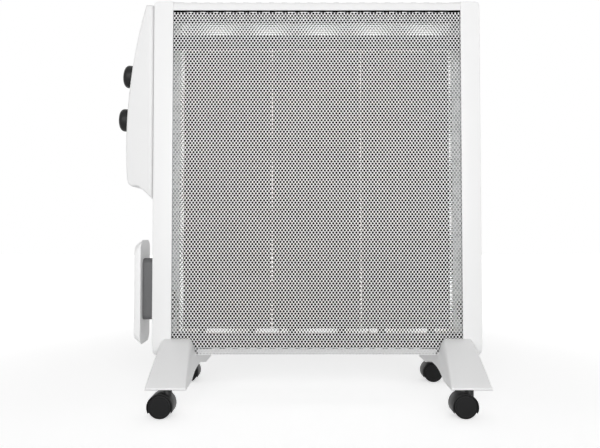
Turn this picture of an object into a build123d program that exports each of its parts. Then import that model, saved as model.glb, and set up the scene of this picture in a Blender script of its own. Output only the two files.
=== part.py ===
from build123d import *
import os
from math import asin, cos, degrees, radians, sin, sqrt

# Portable mica panel radiator on castors, in millimetres.
# The floor is Z = 0, the front faces -Y, and the controls are on the left, at -X.
# The origin lies on the floor under the middle of the overall box, knobs included.

# Body: everything between the feet and the top
body_width = 523.8
body_depth = 68.0
body_top = 640.0
body_bottom = 70.6
fit = 0.05
seat_gap = 0.2

# Side pillars, plastic mouldings that are open towards the middle
pillar_width = 30.7
pillar_wall = 2.5
pillar_top_radius = 6.0
pillar_bottom_radius = 9.0
pillar_edge_radius = 1.6
boss_diameter = 9.0
boss_count = 3
boss_margin = 105.0

# End plates, steel channels inside the pillars
plate_thickness = 1.2
plate_setback = 14.0
plate_flange_cover = 1.2

# Perforated grilles. The coarse mesh stands for holes of 3.8 mm at 5.27 mm pitch
grille_depth = 60.0
sheet_thickness = 0.8
sheet_tuck = 10.0
sheet_bottom_gap = 3.4
sheet_top_gap = 6.0
mesh_side_border = 9.0
mesh_top_border = 14.0
mesh_bottom_border = 17.0
mesh_columns = 6
mesh_rows = 6
mesh_web = 12.0

# Top grille and the vent channel below it
top_wall = 2.0
top_height = 14.5
top_crest = 1.0
top_radius = 6.0
slot_pitch = 20.88
slot_width = 12.4
slot_count = 21
slot_shoulder = 1.2
vent_drop = 10.0
vent_depth = 50.0
vent_height = 3.6
vent_thickness = 1.2
vent_spine = 24.0
vent_edge = 5.0

# Bottom tray with its air inlet slots
tray_thickness = 1.2
tray_flange = 8.0
tray_flange_setback = 4.0
tray_slot_length = 40.0
tray_slot_count = 17
foot_notch_gap = 2.0

# Heating panels and the two rails that carry them
rail_height = 25.2
rail_depth = 10.0
rail_thickness = 1.0
upper_rail_drop = 70.0
lower_rail_rise = 9.0
panel_thickness = 3.0
panel_count = 3
panel_gap = 1.6
panel_side_gap = 12.5
panel_top_gap = 1.0
panel_bottom_gap = 6.6
panel_rib_width = 5.0
panel_rib_height = 0.6
panel_rib_count = 5
clip_width = 12.0
clip_thickness = 1.0
clip_hold = 9.5
clip_lap = 14.0
clip_inset = 0.22
liner_wall = 1.5
liner_base = 1.1

# Electrical pieces inside the body
terminal_block_size = (11.0, 22.0, 44.0)
terminal_block_rise = 55.0
terminal_count = 4
terminal_margin = 6.0
tilt_switch_size = (12.0, 20.0, 28.0)
tilt_switch_rise = 55.0
cutout_diameter = 15.0
cutout_length = 8.0
cutout_offset = 8.0
lead_diameter = 3.0
lead_rise = 4.0
wire_passage_diameter = 16.0

# Control box on the left pillar
box_depth = 56.0
box_reach = 45.3
box_wall = 2.5
box_top_gap = 3.6
box_top_rise = 2.0
box_arc_radius = 871.0
box_arc_drop = 232.0
box_bottom_drop = 297.6
box_corner_rise = 12.0
box_corner_run = 9.0
box_flat = 9.6
box_tail_drop = 320.4
box_tail_radius = 100.0
box_edge_radius = 3.0
back_plate_thickness = 1.5
back_plate_inset = 1.5

# Knobs, their spindles and what they work
knob_diameter = 37.0
knob_height = 16.5
knob_gap = 1.0
knob_edge_radius = 6.5
knob_wall = 2.6
knob_hub_diameter = 11.0
pointer_width = 1.8
pointer_length = 9.0
pointer_depth = 0.8
thermostat_rest_turn = 135.0
power_rest_turn = 45.0
upper_knob_drop = 115.1
knob_pitch = 71.6
spindle_diameter = 6.0
spindle_in_knob = 13.0
spindle_in_unit = 11.0
bush_diameter = 8.6
bush_hole_diameter = 9.2
thermostat_size = (27.0, 32.0, 17.0)
switch_diameter = 31.0
switch_length = 19.0
unit_gap = 0.3
lamp_diameter = 8.0
lamp_collar_diameter = 11.0
lamp_length = 10.0

# Cord gland in the hollow underside of the box
gland_diameter = 12.0
gland_bore = 7.0
gland_collar_diameter = 15.0
gland_collar = 2.0
gland_place = 0.42

# Cord winder on the left pillar
winder_bottom_rise = 17.2
winder_length = 168.6
winder_depth = 58.0
winder_thickness = 10.4
winder_bevel = 9.0
winder_corner_radius = 14.0
winder_gap = 19.7
post_length = 99.0
post_depth = 34.0
post_radius = 9.0
post_rise = 4.2
winder_screw_pitch = 60.0
screw_diameter = 4.0
screw_sides = 6
screw_clearance = 0.3
screw_head_diameter = 8.0
screw_grip = 8.0

# Feet
foot_outer_inset = 11.9
foot_width = 58.0
foot_rise = 29.4
foot_length = 232.0
toe_height = 41.5
toe_front = 5.5
toe_width_gain = 2.0
toe_shoulder = (2.0, 3.0)
horn_shoulder = (10.0, 32.0)
horn_middle_share = 0.52
horn_middle_bulge = 3.0
arch_span = 132.0
arch_rise = 11.5
foot_screw_spacing = 36.0
foot_screw_inset = 46.7
foot_screw_head_height = 3.0
foot_screw_recess = 5.0

# Castors, one design in four places
castor_toe_inset = 12.0
wheel_radius = 17.0
wheel_width = 8.7
wheel_rim_bevel = 1.2
wheel_dish_depth = 1.0
wheel_dish_radius = 14.6
castor_width = 28.0
castor_trail = 8.5
hood_wall = 1.3
hood_clearance = 0.7
hood_tip_drop = 8.2
web_thickness = 9.6
neck_diameter = 13.0
neck_gap = 0.3
stem_diameter = 6.0
stem_in_foot = 9.0
stem_in_hood = 18.0
axle_diameter = 4.0
axle_length = 22.0

# Heights and distances that follow from the sizes above, measured from the body's middle
half_width = body_width / 2
half_depth = body_depth / 2
inner_half = half_width - pillar_width
plate_half = inner_half + plate_setback
sheet_outer = grille_depth / 2
sheet_inner = sheet_outer - sheet_thickness
cavity_bottom = body_bottom + pillar_wall
sheet_bottom = body_bottom + sheet_bottom_gap
sheet_top = body_top - sheet_top_gap
top_grille_top = body_top + top_crest
tray_top = sheet_bottom + tray_thickness
lower_rail_bottom = body_bottom + lower_rail_rise
upper_rail_bottom = body_top - upper_rail_drop
foot_outer = half_width - foot_outer_inset
foot_inner = foot_outer - foot_width
toe_inner = foot_inner - toe_width_gain
foot_back = half_depth + seat_gap
castor_half_track_x = (foot_outer + toe_inner) / 2
castor_half_track_y = foot_length / 2 - castor_toe_inset
horn_top = body_bottom + foot_rise

box_top = body_top - box_top_gap
box_arc_z = body_top - box_arc_drop
box_bottom = body_top - box_bottom_drop
box_tail_z = body_top - box_tail_drop
box_face = half_width + box_reach
box_rim = half_width + back_plate_thickness
knob_heights = (body_top - upper_knob_drop, body_top - upper_knob_drop - knob_pitch)
lamp_height = (knob_heights[0] + knob_heights[1]) / 2


def box_stand_out(height):
    """Distance of the curved outer face of the box from the body's middle."""
    rise = height - box_arc_z
    return box_face - box_arc_radius + sqrt(box_arc_radius**2 - rise**2)


def knob_reach(height):
    """Distance of a knob's outermost point from the body's middle."""
    tilt = asin((height - box_arc_z) / box_arc_radius)
    crown = (knob_gap + knob_height - knob_edge_radius) * cos(tilt)
    crown += (knob_diameter / 2 - knob_edge_radius) * sin(abs(tilt))
    return box_stand_out(height) + crown + knob_edge_radius


left_reach = max(knob_reach(height) for height in knob_heights)
middle_x = (left_reach - half_width) / 2

# Planes through the body's middle: plan looks down, front faces -Y, side faces +X
middle = (middle_x, 0, 0)
plan = Plane(middle, x_dir=(1, 0, 0), z_dir=(0, 0, 1))
front = Plane(middle, x_dir=(1, 0, 0), z_dir=(0, -1, 0))
side = Plane(middle, x_dir=(0, 1, 0), z_dir=(1, 0, 0))


def box_face_plane(height):
    """Plane on the outer face of the box, square to it, with its X along +Y."""
    rise = height - box_arc_z
    run = sqrt(box_arc_radius**2 - rise**2)
    outward = (-run / box_arc_radius, 0, rise / box_arc_radius)
    return Plane((middle_x - box_stand_out(height), 0, height), x_dir=(0, 1, 0), z_dir=outward)


def spread(count, first, last):
    """Evenly spaced values from first to last."""
    return [first + (last - first) * step / (count - 1) for step in range(count)]


boss_heights = spread(boss_count, body_bottom + boss_margin, body_top - boss_margin)
wire_height = knob_heights[1] - knob_pitch / 2

# Side pillars
with BuildPart() as plain_pillar:
    with BuildSketch(front):
        with Locations((-(half_width + inner_half) / 2, (body_top + body_bottom) / 2)):
            Rectangle(pillar_width, body_top - body_bottom)
        fillet(vertices().group_by(Axis.X)[0].sort_by(Axis.Y)[0], pillar_bottom_radius)
        fillet(vertices().group_by(Axis.X)[0].sort_by(Axis.Y)[-1], pillar_top_radius)
    extrude(amount=half_depth, both=True)
    rim = plain_pillar.edges().group_by(Axis.Y)[0] + plain_pillar.edges().group_by(Axis.Y)[-1]
    mouth_edges = rim.filter_by(Axis.Z).group_by(Axis.X)[-1]
    fillet([edge for edge in rim if edge not in mouth_edges], pillar_edge_radius)
    with BuildSketch(plan.offset(cavity_bottom)):
        with Locations((-(half_width - pillar_wall + inner_half) / 2, 0)):
            Rectangle(pillar_width - pillar_wall, body_depth - 2 * pillar_wall)
    extrude(amount=body_top - pillar_wall - cavity_bottom, mode=Mode.SUBTRACT)
    boss_length = half_width - pillar_wall - plate_half - plate_thickness
    with BuildSketch(side.offset(-half_width + pillar_wall)):
        with Locations([(0, height) for height in boss_heights]):
            Circle(boss_diameter / 2)
            Circle(screw_diameter / 2 + fit, mode=Mode.SUBTRACT)
    extrude(amount=boss_length)

with BuildPart() as right_pillar:
    mirror(plain_pillar.part, about=side)

winder_bottom = body_bottom + winder_bottom_rise
winder_middle = winder_bottom + winder_length / 2
post_middle = winder_middle + post_rise
winder_screw_heights = (post_middle - winder_screw_pitch / 2, post_middle + winder_screw_pitch / 2)

with BuildPart() as left_pillar:
    add(plain_pillar.part)
    with BuildSketch(side.offset(-half_width)):
        with Locations((0, wire_height)):
            Circle(wire_passage_diameter / 2)
        with Locations([(0, height) for height in winder_screw_heights]):
            Circle(screw_diameter / 2 + fit)
    extrude(amount=pillar_wall, mode=Mode.SUBTRACT)

# End plates: a web with two flanges that the grille edges lie on
plate_mouth = inner_half + plate_flange_cover
vent_top = body_top - vent_drop
plate_top = vent_top - vent_height
with BuildPart() as plain_plate:
    with BuildSketch(plan.offset(cavity_bottom)):
        with Locations((-(plate_half + plate_thickness + plate_mouth) / 2, 0)):
            Rectangle(plate_half + plate_thickness - plate_mouth, 2 * sheet_inner)
        with Locations((-(plate_half + plate_mouth) / 2, 0)):
            Rectangle(
                plate_half - plate_mouth, 2 * (sheet_inner - plate_thickness), mode=Mode.SUBTRACT
            )
    extrude(amount=plate_top - cavity_bottom)
    with BuildSketch(side.offset(-plate_half)):
        with Locations([(0, height) for height in boss_heights]):
            Circle(screw_diameter / 2 + screw_clearance)
    extrude(amount=-plate_thickness, mode=Mode.SUBTRACT)

with BuildPart() as right_end_plate:
    mirror(plain_plate.part, about=side)

with BuildPart() as left_end_plate:
    add(plain_plate.part)
    with BuildSketch(side.offset(-plate_half)):
        with Locations((0, wire_height)):
            Circle(wire_passage_diameter / 2)
    extrude(amount=-plate_thickness, mode=Mode.SUBTRACT)

# Body screws: driven from inside through the end plates into the pillar bosses
with BuildPart() as body_screws:
    for sign in (-1, 1):
        for height in boss_heights:
            with BuildSketch(side.offset(sign * plate_half)):
                with Locations((0, height)):
                    RegularPolygon(screw_head_diameter / 2, screw_sides)
            extrude(amount=-sign * screw_diameter / 2)
            with BuildSketch(side.offset(sign * plate_half)):
                with Locations((0, height)):
                    RegularPolygon(screw_diameter / 2, screw_sides)
            extrude(amount=sign * (plate_thickness + screw_grip))

# Grilles: flat sheets with staggered diamond openings, tucked behind the pillars
mesh_left = -inner_half + mesh_side_border
mesh_right = inner_half - mesh_side_border
mesh_low = sheet_bottom + mesh_bottom_border
mesh_high = sheet_top - mesh_top_border
mesh_cell_x = (mesh_right - mesh_left) / mesh_columns
mesh_cell_z = (mesh_high - mesh_low) / mesh_rows
mesh_stagger = 0.5

with BuildPart() as front_grille:
    with BuildSketch(front.offset(sheet_inner)):
        with Locations((0, (sheet_bottom + sheet_top) / 2)):
            Rectangle(2 * (inner_half + sheet_tuck), sheet_top - sheet_bottom)
        full_places = [
            (mesh_left + (column + mesh_stagger) * mesh_cell_x, mesh_low + (row + 0.5) * mesh_cell_z)
            for column in range(mesh_columns)
            for row in range(mesh_rows)
        ]
        between_places = [
            (mesh_left + column * mesh_cell_x, mesh_low + row * mesh_cell_z)
            for column in range(1, mesh_columns)
            for row in range(1, mesh_rows)
        ]
        hole_x = (mesh_cell_x - mesh_web) / 2
        hole_z = (mesh_cell_z - mesh_web * mesh_cell_z / mesh_cell_x) / 2
        with Locations(full_places + between_places):
            Polygon((-hole_x, 0), (0, -hole_z), (hole_x, 0), (0, hole_z), mode=Mode.SUBTRACT)
    extrude(amount=sheet_thickness)

with BuildPart() as rear_grille:
    mirror(front_grille.part, about=front)

# Top grille: a slotted cover with rounded shoulders, between the pillars
top_half_depth = sheet_outer + top_wall
slot_places = [(slot_pitch * (step - (slot_count - 1) / 2), 0) for step in range(slot_count)]
with BuildPart() as top_grille:
    with BuildSketch(side):
        with Locations((0, top_grille_top - top_height / 2)):
            Rectangle(2 * top_half_depth, top_height)
        fillet(vertices().group_by(Axis.Y)[-1], top_radius)
    extrude(amount=inner_half, both=True)
    with BuildSketch(side):
        with Locations((0, top_grille_top - top_wall - top_height / 2)):
            Rectangle(2 * sheet_outer, top_height)
        fillet(vertices().group_by(Axis.Y)[-1], top_radius - top_wall)
    extrude(amount=inner_half, both=True, mode=Mode.SUBTRACT)
    with BuildSketch(plan.offset(top_grille_top)):
        with Locations(slot_places):
            Rectangle(slot_width, 2 * (top_half_depth - slot_shoulder))
    extrude(amount=-2 * top_wall, mode=Mode.SUBTRACT)

# Vent channel: a shallow dark channel under the top grille with two rows of slots
vent_slot_length = vent_depth / 2 - vent_spine / 2 - vent_edge
with BuildPart() as vent_channel:
    with BuildSketch(side):
        with Locations((0, vent_top - vent_height / 2)):
            Rectangle(vent_depth, vent_height)
        with Locations((0, vent_top - vent_thickness - vent_height / 2)):
            Rectangle(vent_depth - 2 * vent_thickness, vent_height, mode=Mode.SUBTRACT)
    extrude(amount=plate_half + plate_thickness, both=True)
    vent_slot_y = (vent_spine + vent_slot_length) / 2
    with BuildSketch(plan.offset(vent_top)):
        with Locations([(x, sign * vent_slot_y) for x, _ in slot_places for sign in (-1, 1)]):
            Rectangle(slot_width, vent_slot_length)
    extrude(amount=-vent_thickness, mode=Mode.SUBTRACT)

# Bottom tray: a slotted web with flanges between the feet
tray_flange_half = foot_inner - foot_notch_gap
foot_screw_x = half_width - foot_screw_inset
foot_screw_places = [
    (sign_x * foot_screw_x, sign_y * foot_screw_spacing / 2) for sign_x in (-1, 1) for sign_y in (-1, 1)
]
with BuildPart() as bottom_tray:
    with BuildSketch(plan.offset(sheet_bottom)):
        Rectangle(2 * inner_half, 2 * sheet_inner)
        tray_slots = [
            (slot_pitch * (step - (tray_slot_count - 1) / 2), 0) for step in range(tray_slot_count)
        ]
        with Locations(tray_slots):
            Rectangle(slot_width, tray_slot_length, mode=Mode.SUBTRACT)
        with Locations(foot_screw_places):
            Circle(screw_diameter / 2 + screw_clearance, mode=Mode.SUBTRACT)
    extrude(amount=tray_thickness)
    with BuildSketch(plan.offset(tray_top)):
        tray_flange_y = sheet_inner - tray_flange_setback
        Rectangle(2 * tray_flange_half, 2 * tray_flange_y)
        Rectangle(2 * tray_flange_half, 2 * (tray_flange_y - tray_thickness), mode=Mode.SUBTRACT)
    extrude(amount=tray_flange - tray_thickness)

# Element rails: a web in front and one flange away from the panels
rail_front = rail_depth / 2
with BuildPart() as upper_element_rail:
    with BuildSketch(side):
        with Locations((-rail_front + rail_thickness / 2, upper_rail_bottom + rail_height / 2)):
            Rectangle(rail_thickness, rail_height)
        with Locations((0, upper_rail_bottom + rail_height - rail_thickness / 2)):
            Rectangle(rail_depth, rail_thickness)
    extrude(amount=plate_half, both=True)

with BuildPart() as lower_element_rail:
    with BuildSketch(side):
        with Locations((-rail_front + rail_thickness / 2, lower_rail_bottom + rail_height / 2)):
            Rectangle(rail_thickness, rail_height)
        with Locations((0, lower_rail_bottom + rail_thickness / 2)):
            Rectangle(rail_depth, rail_thickness)
    extrude(amount=plate_half, both=True)

# Heating panels: mica boards with pressed ribs up both faces
panel_bottom = lower_rail_bottom + rail_height + panel_bottom_gap
panel_top = upper_rail_bottom - panel_top_gap
panel_span = 2 * (inner_half - panel_side_gap)
panel_width = (panel_span - (panel_count - 1) * panel_gap) / panel_count
panel_middles = [
    (panel_width + panel_gap) * (step - (panel_count - 1) / 2) for step in range(panel_count)
]
panel_middle_z = (panel_bottom + panel_top) / 2
rib_margin = 2 * clip_hold
rib_pitch = panel_width / (panel_rib_count + 1)


def heating_panel(middle_offset):
    """One board with its ribs, clear of the clips at both ends."""
    with BuildPart() as board:
        with BuildSketch(front):
            with Locations((middle_offset, panel_middle_z)):
                Rectangle(panel_width, panel_top - panel_bottom)
        extrude(amount=panel_thickness / 2, both=True)
        rib_places = [
            (middle_offset - panel_width / 2 + rib_pitch * step, panel_middle_z)
            for step in range(1, panel_rib_count + 1)
        ]
        with BuildSketch(front):
            with Locations(rib_places):
                Rectangle(panel_rib_width, panel_top - panel_bottom - 2 * rib_margin)
        extrude(amount=panel_thickness / 2 + panel_rib_height, both=True)
    return board


heating_panel_left = heating_panel(panel_middles[0])
heating_panel_centre = heating_panel(panel_middles[1])
heating_panel_right = heating_panel(panel_middles[2])

# Clips and ceramic liners: two at each end of every panel, hooked round the board's edge
web_back = rail_front - rail_thickness
clip_back = panel_thickness / 2 + liner_wall + clip_thickness
clip_xs = [
    offset_x + sign * panel_width * (0.5 - clip_inset) for offset_x in panel_middles for sign in (-1, 1)
]
with BuildPart() as panel_clips:
    for edge_z, outward in ((panel_bottom, -1), (panel_top, 1)):
        shelf_z = edge_z + outward * liner_base
        far_z = shelf_z + outward * clip_thickness
        near_z = edge_z - outward * clip_hold
        for clip_x in clip_xs:
            with BuildSketch(side.offset(clip_x - clip_width / 2)):
                with BuildLine():
                    Polyline(
                        (-web_back, near_z),
                        (-web_back, far_z + outward * clip_lap),
                        (-web_back + clip_thickness, far_z + outward * clip_lap),
                        (-web_back + clip_thickness, far_z),
                        (clip_back, far_z),
                        (clip_back, near_z),
                        (clip_back - clip_thickness, near_z),
                        (clip_back - clip_thickness, shelf_z),
                        (-web_back + clip_thickness, shelf_z),
                        (-web_back + clip_thickness, near_z),
                        close=True,
                    )
                make_face()
            extrude(amount=clip_width)

with BuildPart() as ceramic_insulators:
    for edge_z, outward in ((panel_bottom, -1), (panel_top, 1)):
        shelf_z = edge_z + outward * liner_base
        near_z = edge_z - outward * clip_hold
        for clip_x in clip_xs:
            with BuildSketch(side.offset(clip_x - clip_width / 2)):
                with BuildLine():
                    Polyline(
                        (-web_back + clip_thickness, near_z),
                        (-web_back + clip_thickness, shelf_z),
                        (clip_back - clip_thickness, shelf_z),
                        (clip_back - clip_thickness, near_z),
                        (panel_thickness / 2, near_z),
                        (panel_thickness / 2, edge_z),
                        (-panel_thickness / 2, edge_z),
                        (-panel_thickness / 2, near_z),
                        close=True,
                    )
                make_face()
            extrude(amount=clip_width)

# Terminal block on the left end plate, tip-over switch on the right one
block_x, block_y, block_z = terminal_block_size
block_low = body_bottom + terminal_block_rise
terminal_heights = spread(
    terminal_count, block_low + terminal_margin, block_low + block_z - terminal_margin
)
with BuildPart() as terminal_block:
    with BuildSketch(plan.offset(block_low)):
        with Locations((-plate_half + block_x / 2, 0)):
            Rectangle(block_x, block_y)
    extrude(amount=block_z)
    with BuildSketch(side.offset(-plate_half + block_x)):
        with Locations([(0, height) for height in terminal_heights]):
            Rectangle(block_y / 2, block_z / terminal_count / 2)
    extrude(amount=-block_x / 3, mode=Mode.SUBTRACT)

tilt_x, tilt_y, tilt_z = tilt_switch_size
tilt_low = body_bottom + tilt_switch_rise
with BuildPart() as tip_over_switch:
    with BuildSketch(plan.offset(tilt_low)):
        with Locations((plate_half - tilt_x / 2, 0)):
            Rectangle(tilt_x, tilt_y)
    extrude(amount=tilt_z)
    with BuildSketch(plan.offset(tilt_low)):
        with Locations((plate_half - tilt_x / 2, 0)):
            Circle(tilt_x / 4)
    extrude(amount=-tilt_z / 4)

# Thermal cut-out on the back of the upper rail's web
cutout_height = upper_rail_bottom + rail_height / 2
with BuildPart() as thermal_cutout:
    with BuildSketch(front.offset(web_back)):
        with Locations((panel_middles[0] + cutout_offset, cutout_height)):
            Circle(cutout_diameter / 2)
    extrude(amount=-cutout_length)
    with BuildSketch(front.offset(web_back)):
        with Locations((panel_middles[0] + cutout_offset, cutout_height)):
            Rectangle(cutout_diameter * 1.5, cutout_diameter / 2)
    extrude(amount=-rail_thickness)

# Leads: from the terminal block along the lower rail to the foot of each panel
lead_y = rail_front - lead_diameter
lead_low = lower_rail_bottom + rail_thickness + lead_diameter / 2
with BuildPart() as element_leads:
    for step, offset_x in enumerate(panel_middles):
        run_z = lead_low + step * (lead_diameter + lead_rise / 2)
        start_z = block_low + block_z * (step + 1) / (panel_count + 1)
        start_x = -plate_half + block_x
        drop_x = start_x + 2 * lead_diameter
        end_x = offset_x - panel_width / 2 + lead_diameter * 4
        with BuildLine():
            route = Polyline(
                (middle_x + start_x, lead_y, start_z),
                (middle_x + drop_x, lead_y, start_z),
                (middle_x + drop_x, lead_y, run_z),
                (middle_x + end_x, lead_y, run_z),
                (middle_x + end_x, lead_y, panel_bottom),
            )
        with BuildSketch(side.offset(start_x)):
            with Locations((lead_y, start_z)):
                RegularPolygon(lead_diameter / 2, 6)
        sweep(path=route, transition=Transition.RIGHT)

# Control box shell, its back plate and its openings
rim_x = -box_rim
corner_x = -box_face + box_corner_run
tail_start_x = corner_x + box_flat
corner_start = box_bottom + box_corner_rise

with BuildSketch(front) as box_outline:
    with BuildLine():
        Line((rim_x, box_tail_z), (rim_x, box_top + box_top_rise))
        Line((rim_x, box_top + box_top_rise), (-box_stand_out(box_top), box_top))
        arc_middle = (box_top + corner_start) / 2
        ThreePointArc(
            (-box_stand_out(box_top), box_top),
            (-box_stand_out(arc_middle), arc_middle),
            (-box_stand_out(corner_start), corner_start),
        )
        TangentArc(
            (-box_stand_out(corner_start), corner_start),
            (corner_x, box_bottom),
            tangent=((box_arc_z - corner_start) / box_arc_radius, -1),
        )
        Line((corner_x, box_bottom), (tail_start_x, box_bottom))
        RadiusArc((tail_start_x, box_bottom), (rim_x, box_tail_z), box_tail_radius)
    make_face()

with BuildPart() as control_box:
    extrude(box_outline.sketch, amount=box_depth / 2, both=True)
    ends = control_box.faces().sort_by(Axis.Y)
    box_edges = (ends[0].edges() + ends[-1].edges()).sort_by(Axis.X)[:-2]
    fillet(box_edges, box_edge_radius)
    box_inside = offset(box_outline.sketch, amount=-box_wall, mode=Mode.PRIVATE)
    extrude(box_inside, amount=box_depth / 2 - box_wall, both=True, mode=Mode.SUBTRACT)
    mouth_low = box_tail_z + 3 * box_wall
    with BuildSketch(front):
        with Locations((rim_x - box_wall, (mouth_low + box_top - box_wall) / 2)):
            Rectangle(2 * box_wall, box_top - box_wall - mouth_low)
    extrude(amount=box_depth / 2 - box_wall, both=True, mode=Mode.SUBTRACT)
    for height in knob_heights:
        with BuildSketch(box_face_plane(height).offset(box_wall)):
            Circle(bush_hole_diameter / 2)
        extrude(amount=-3 * box_wall, mode=Mode.SUBTRACT)
    with BuildSketch(box_face_plane(lamp_height).offset(box_wall)):
        Circle(lamp_diameter / 2 + fit)
    extrude(amount=-3 * box_wall, mode=Mode.SUBTRACT)

with BuildPart() as control_box_back:
    with BuildSketch(side.offset(-half_width)):
        with Locations((0, (box_tail_z + box_top) / 2)):
            Rectangle(
                box_depth - 2 * back_plate_inset, box_top - box_tail_z - 2 * back_plate_inset
            )
        with Locations((0, wire_height)):
            Circle(wire_passage_diameter / 2, mode=Mode.SUBTRACT)
    extrude(amount=-back_plate_thickness)

# Cord gland: a flush bush in the hollow underside, square to it
tail_chord_x = rim_x - tail_start_x
tail_chord_z = box_tail_z - box_bottom
tail_chord = sqrt(tail_chord_x**2 + tail_chord_z**2)
tail_half = asin(tail_chord / 2 / box_tail_radius)
chord_out = (tail_chord_z / tail_chord, -tail_chord_x / tail_chord)
centre_distance = box_tail_radius * cos(tail_half)
tail_centre = (
    tail_start_x + tail_chord_x / 2 + chord_out[0] * centre_distance,
    box_bottom + tail_chord_z / 2 + chord_out[1] * centre_distance,
)
gland_turn = 2 * tail_half * (gland_place - 0.5)
gland_out = (
    chord_out[0] * cos(gland_turn) + chord_out[1] * sin(gland_turn),
    chord_out[1] * cos(gland_turn) - chord_out[0] * sin(gland_turn),
)
gland_face = Plane(
    (
        middle_x + tail_centre[0] - gland_out[0] * box_tail_radius,
        0,
        tail_centre[1] - gland_out[1] * box_tail_radius,
    ),
    x_dir=(0, 1, 0),
    z_dir=(gland_out[0], 0, gland_out[1]),
)
with BuildPart(mode=Mode.PRIVATE) as gland_hole:
    with BuildSketch(gland_face.offset(box_wall)):
        Circle(gland_diameter / 2)
    extrude(amount=-3 * box_wall)
control_box.part = control_box.part - gland_hole.part

with BuildPart() as cord_gland:
    with BuildSketch(gland_face):
        Circle(gland_diameter / 2 - fit)
    extrude(amount=-box_wall - seat_gap)
    with BuildSketch(gland_face.offset(-box_wall - seat_gap)):
        Circle(gland_collar_diameter / 2)
    extrude(amount=-gland_collar)
    with BuildSketch(gland_face):
        Circle(gland_bore / 2)
    extrude(amount=-2 * gland_collar - box_wall, mode=Mode.SUBTRACT)

# Thermostat, power switch and pilot lamp behind the outer face
thermostat_plane = box_face_plane(knob_heights[0])
switch_plane = box_face_plane(knob_heights[1])
unit_depth = box_wall + unit_gap
with BuildPart() as thermostat:
    with BuildSketch(thermostat_plane.offset(-unit_depth)):
        Rectangle(thermostat_size[0], thermostat_size[1])
    extrude(amount=-thermostat_size[2])
    with BuildSketch(thermostat_plane.offset(-unit_depth)):
        Circle(bush_diameter / 2)
    extrude(amount=unit_depth)
    with BuildSketch(thermostat_plane):
        Circle(spindle_diameter / 2 + fit)
    extrude(amount=-unit_depth - spindle_in_unit - seat_gap, mode=Mode.SUBTRACT)

with BuildPart() as power_switch:
    with BuildSketch(switch_plane.offset(-unit_depth)):
        RegularPolygon(switch_diameter / 2, 12)
    extrude(amount=-switch_length)
    with BuildSketch(switch_plane.offset(-unit_depth)):
        Circle(bush_diameter / 2)
    extrude(amount=unit_depth)
    with BuildSketch(switch_plane):
        Circle(spindle_diameter / 2 + fit)
    extrude(amount=-unit_depth - spindle_in_unit - seat_gap, mode=Mode.SUBTRACT)

lamp_plane = box_face_plane(lamp_height)
with BuildPart() as pilot_lamp:
    with BuildSketch(lamp_plane):
        Circle(lamp_diameter / 2)
    extrude(amount=-unit_depth)
    with BuildSketch(lamp_plane.offset(-unit_depth)):
        Circle(lamp_collar_diameter / 2)
    extrude(amount=-lamp_length)


def knob(plane, rest_turn):
    """Round knob with a domed edge, a hub and a pointer groove turned left from upright."""
    with BuildPart() as cap:
        with BuildSketch(plane.offset(knob_gap)):
            Circle(knob_diameter / 2)
        extrude(amount=knob_height)
        outer_edge = cap.edges().filter_by(GeomType.CIRCLE).sort_by(Axis.X)[0]
        fillet(outer_edge, knob_edge_radius)
        with BuildSketch(plane.offset(knob_gap)):
            Circle(knob_diameter / 2 - knob_edge_radius)
            Circle(knob_hub_diameter / 2, mode=Mode.SUBTRACT)
        extrude(amount=knob_height - knob_wall, mode=Mode.SUBTRACT)
        with BuildSketch(plane.offset(knob_gap)):
            Circle(spindle_diameter / 2 + fit)
        extrude(amount=spindle_in_knob + fit, mode=Mode.SUBTRACT)
        with BuildSketch(plane.offset(knob_gap + knob_height).rotated((0, 0, rest_turn))):
            with Locations((0, pointer_length / 2 + knob_edge_radius - knob_diameter / 2)):
                Rectangle(pointer_width, pointer_length)
        extrude(amount=-pointer_depth, mode=Mode.SUBTRACT)
    return cap


def spindle(plane):
    """Steel spindle that runs in the bush of its unit and holds its knob."""
    with BuildPart() as rod:
        with BuildSketch(plane.offset(-unit_depth - spindle_in_unit)):
            Circle(spindle_diameter / 2)
        extrude(amount=unit_depth + spindle_in_unit + knob_gap + spindle_in_knob)
    return rod


thermostat_knob = knob(thermostat_plane, thermostat_rest_turn)
thermostat_spindle = spindle(thermostat_plane)
power_knob = knob(switch_plane, power_rest_turn)
power_spindle = spindle(switch_plane)

# Cord winder: a dark post with a bevelled white flange, held by two screws
flange_inner = half_width + winder_gap
flange_outer = flange_inner + winder_thickness
with BuildPart() as winder_post:
    with BuildSketch(side.offset(-half_width)):
        with Locations((0, post_middle)):
            RectangleRounded(post_depth, post_length, post_radius)
        with Locations([(0, height) for height in winder_screw_heights]):
            Circle(screw_diameter / 2 + screw_clearance, mode=Mode.SUBTRACT)
    extrude(amount=-winder_gap)

with BuildPart() as winder_flange:
    with BuildSketch(front):
        with BuildLine():
            Polyline(
                (-flange_inner, winder_bottom),
                (-flange_inner, winder_bottom + winder_length),
                (-flange_outer, winder_bottom + winder_length - winder_bevel),
                (-flange_outer, winder_bottom + winder_bevel),
                close=True,
            )
        make_face()
    extrude(amount=winder_depth / 2, both=True)
    slanted = winder_flange.edges().filter_by(
        lambda edge: edge.bounding_box().size.X > 1 and edge.bounding_box().size.Y < 1
    )
    fillet(slanted, winder_corner_radius)
    head_planes = [
        Plane((middle_x - flange_outer, 0, height), z_dir=(-1, 0, 0)) for height in winder_screw_heights
    ]
    with Locations(*head_planes):
        CounterSinkHole(screw_diameter / 2 + screw_clearance, screw_head_diameter / 2 + screw_clearance)

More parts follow.
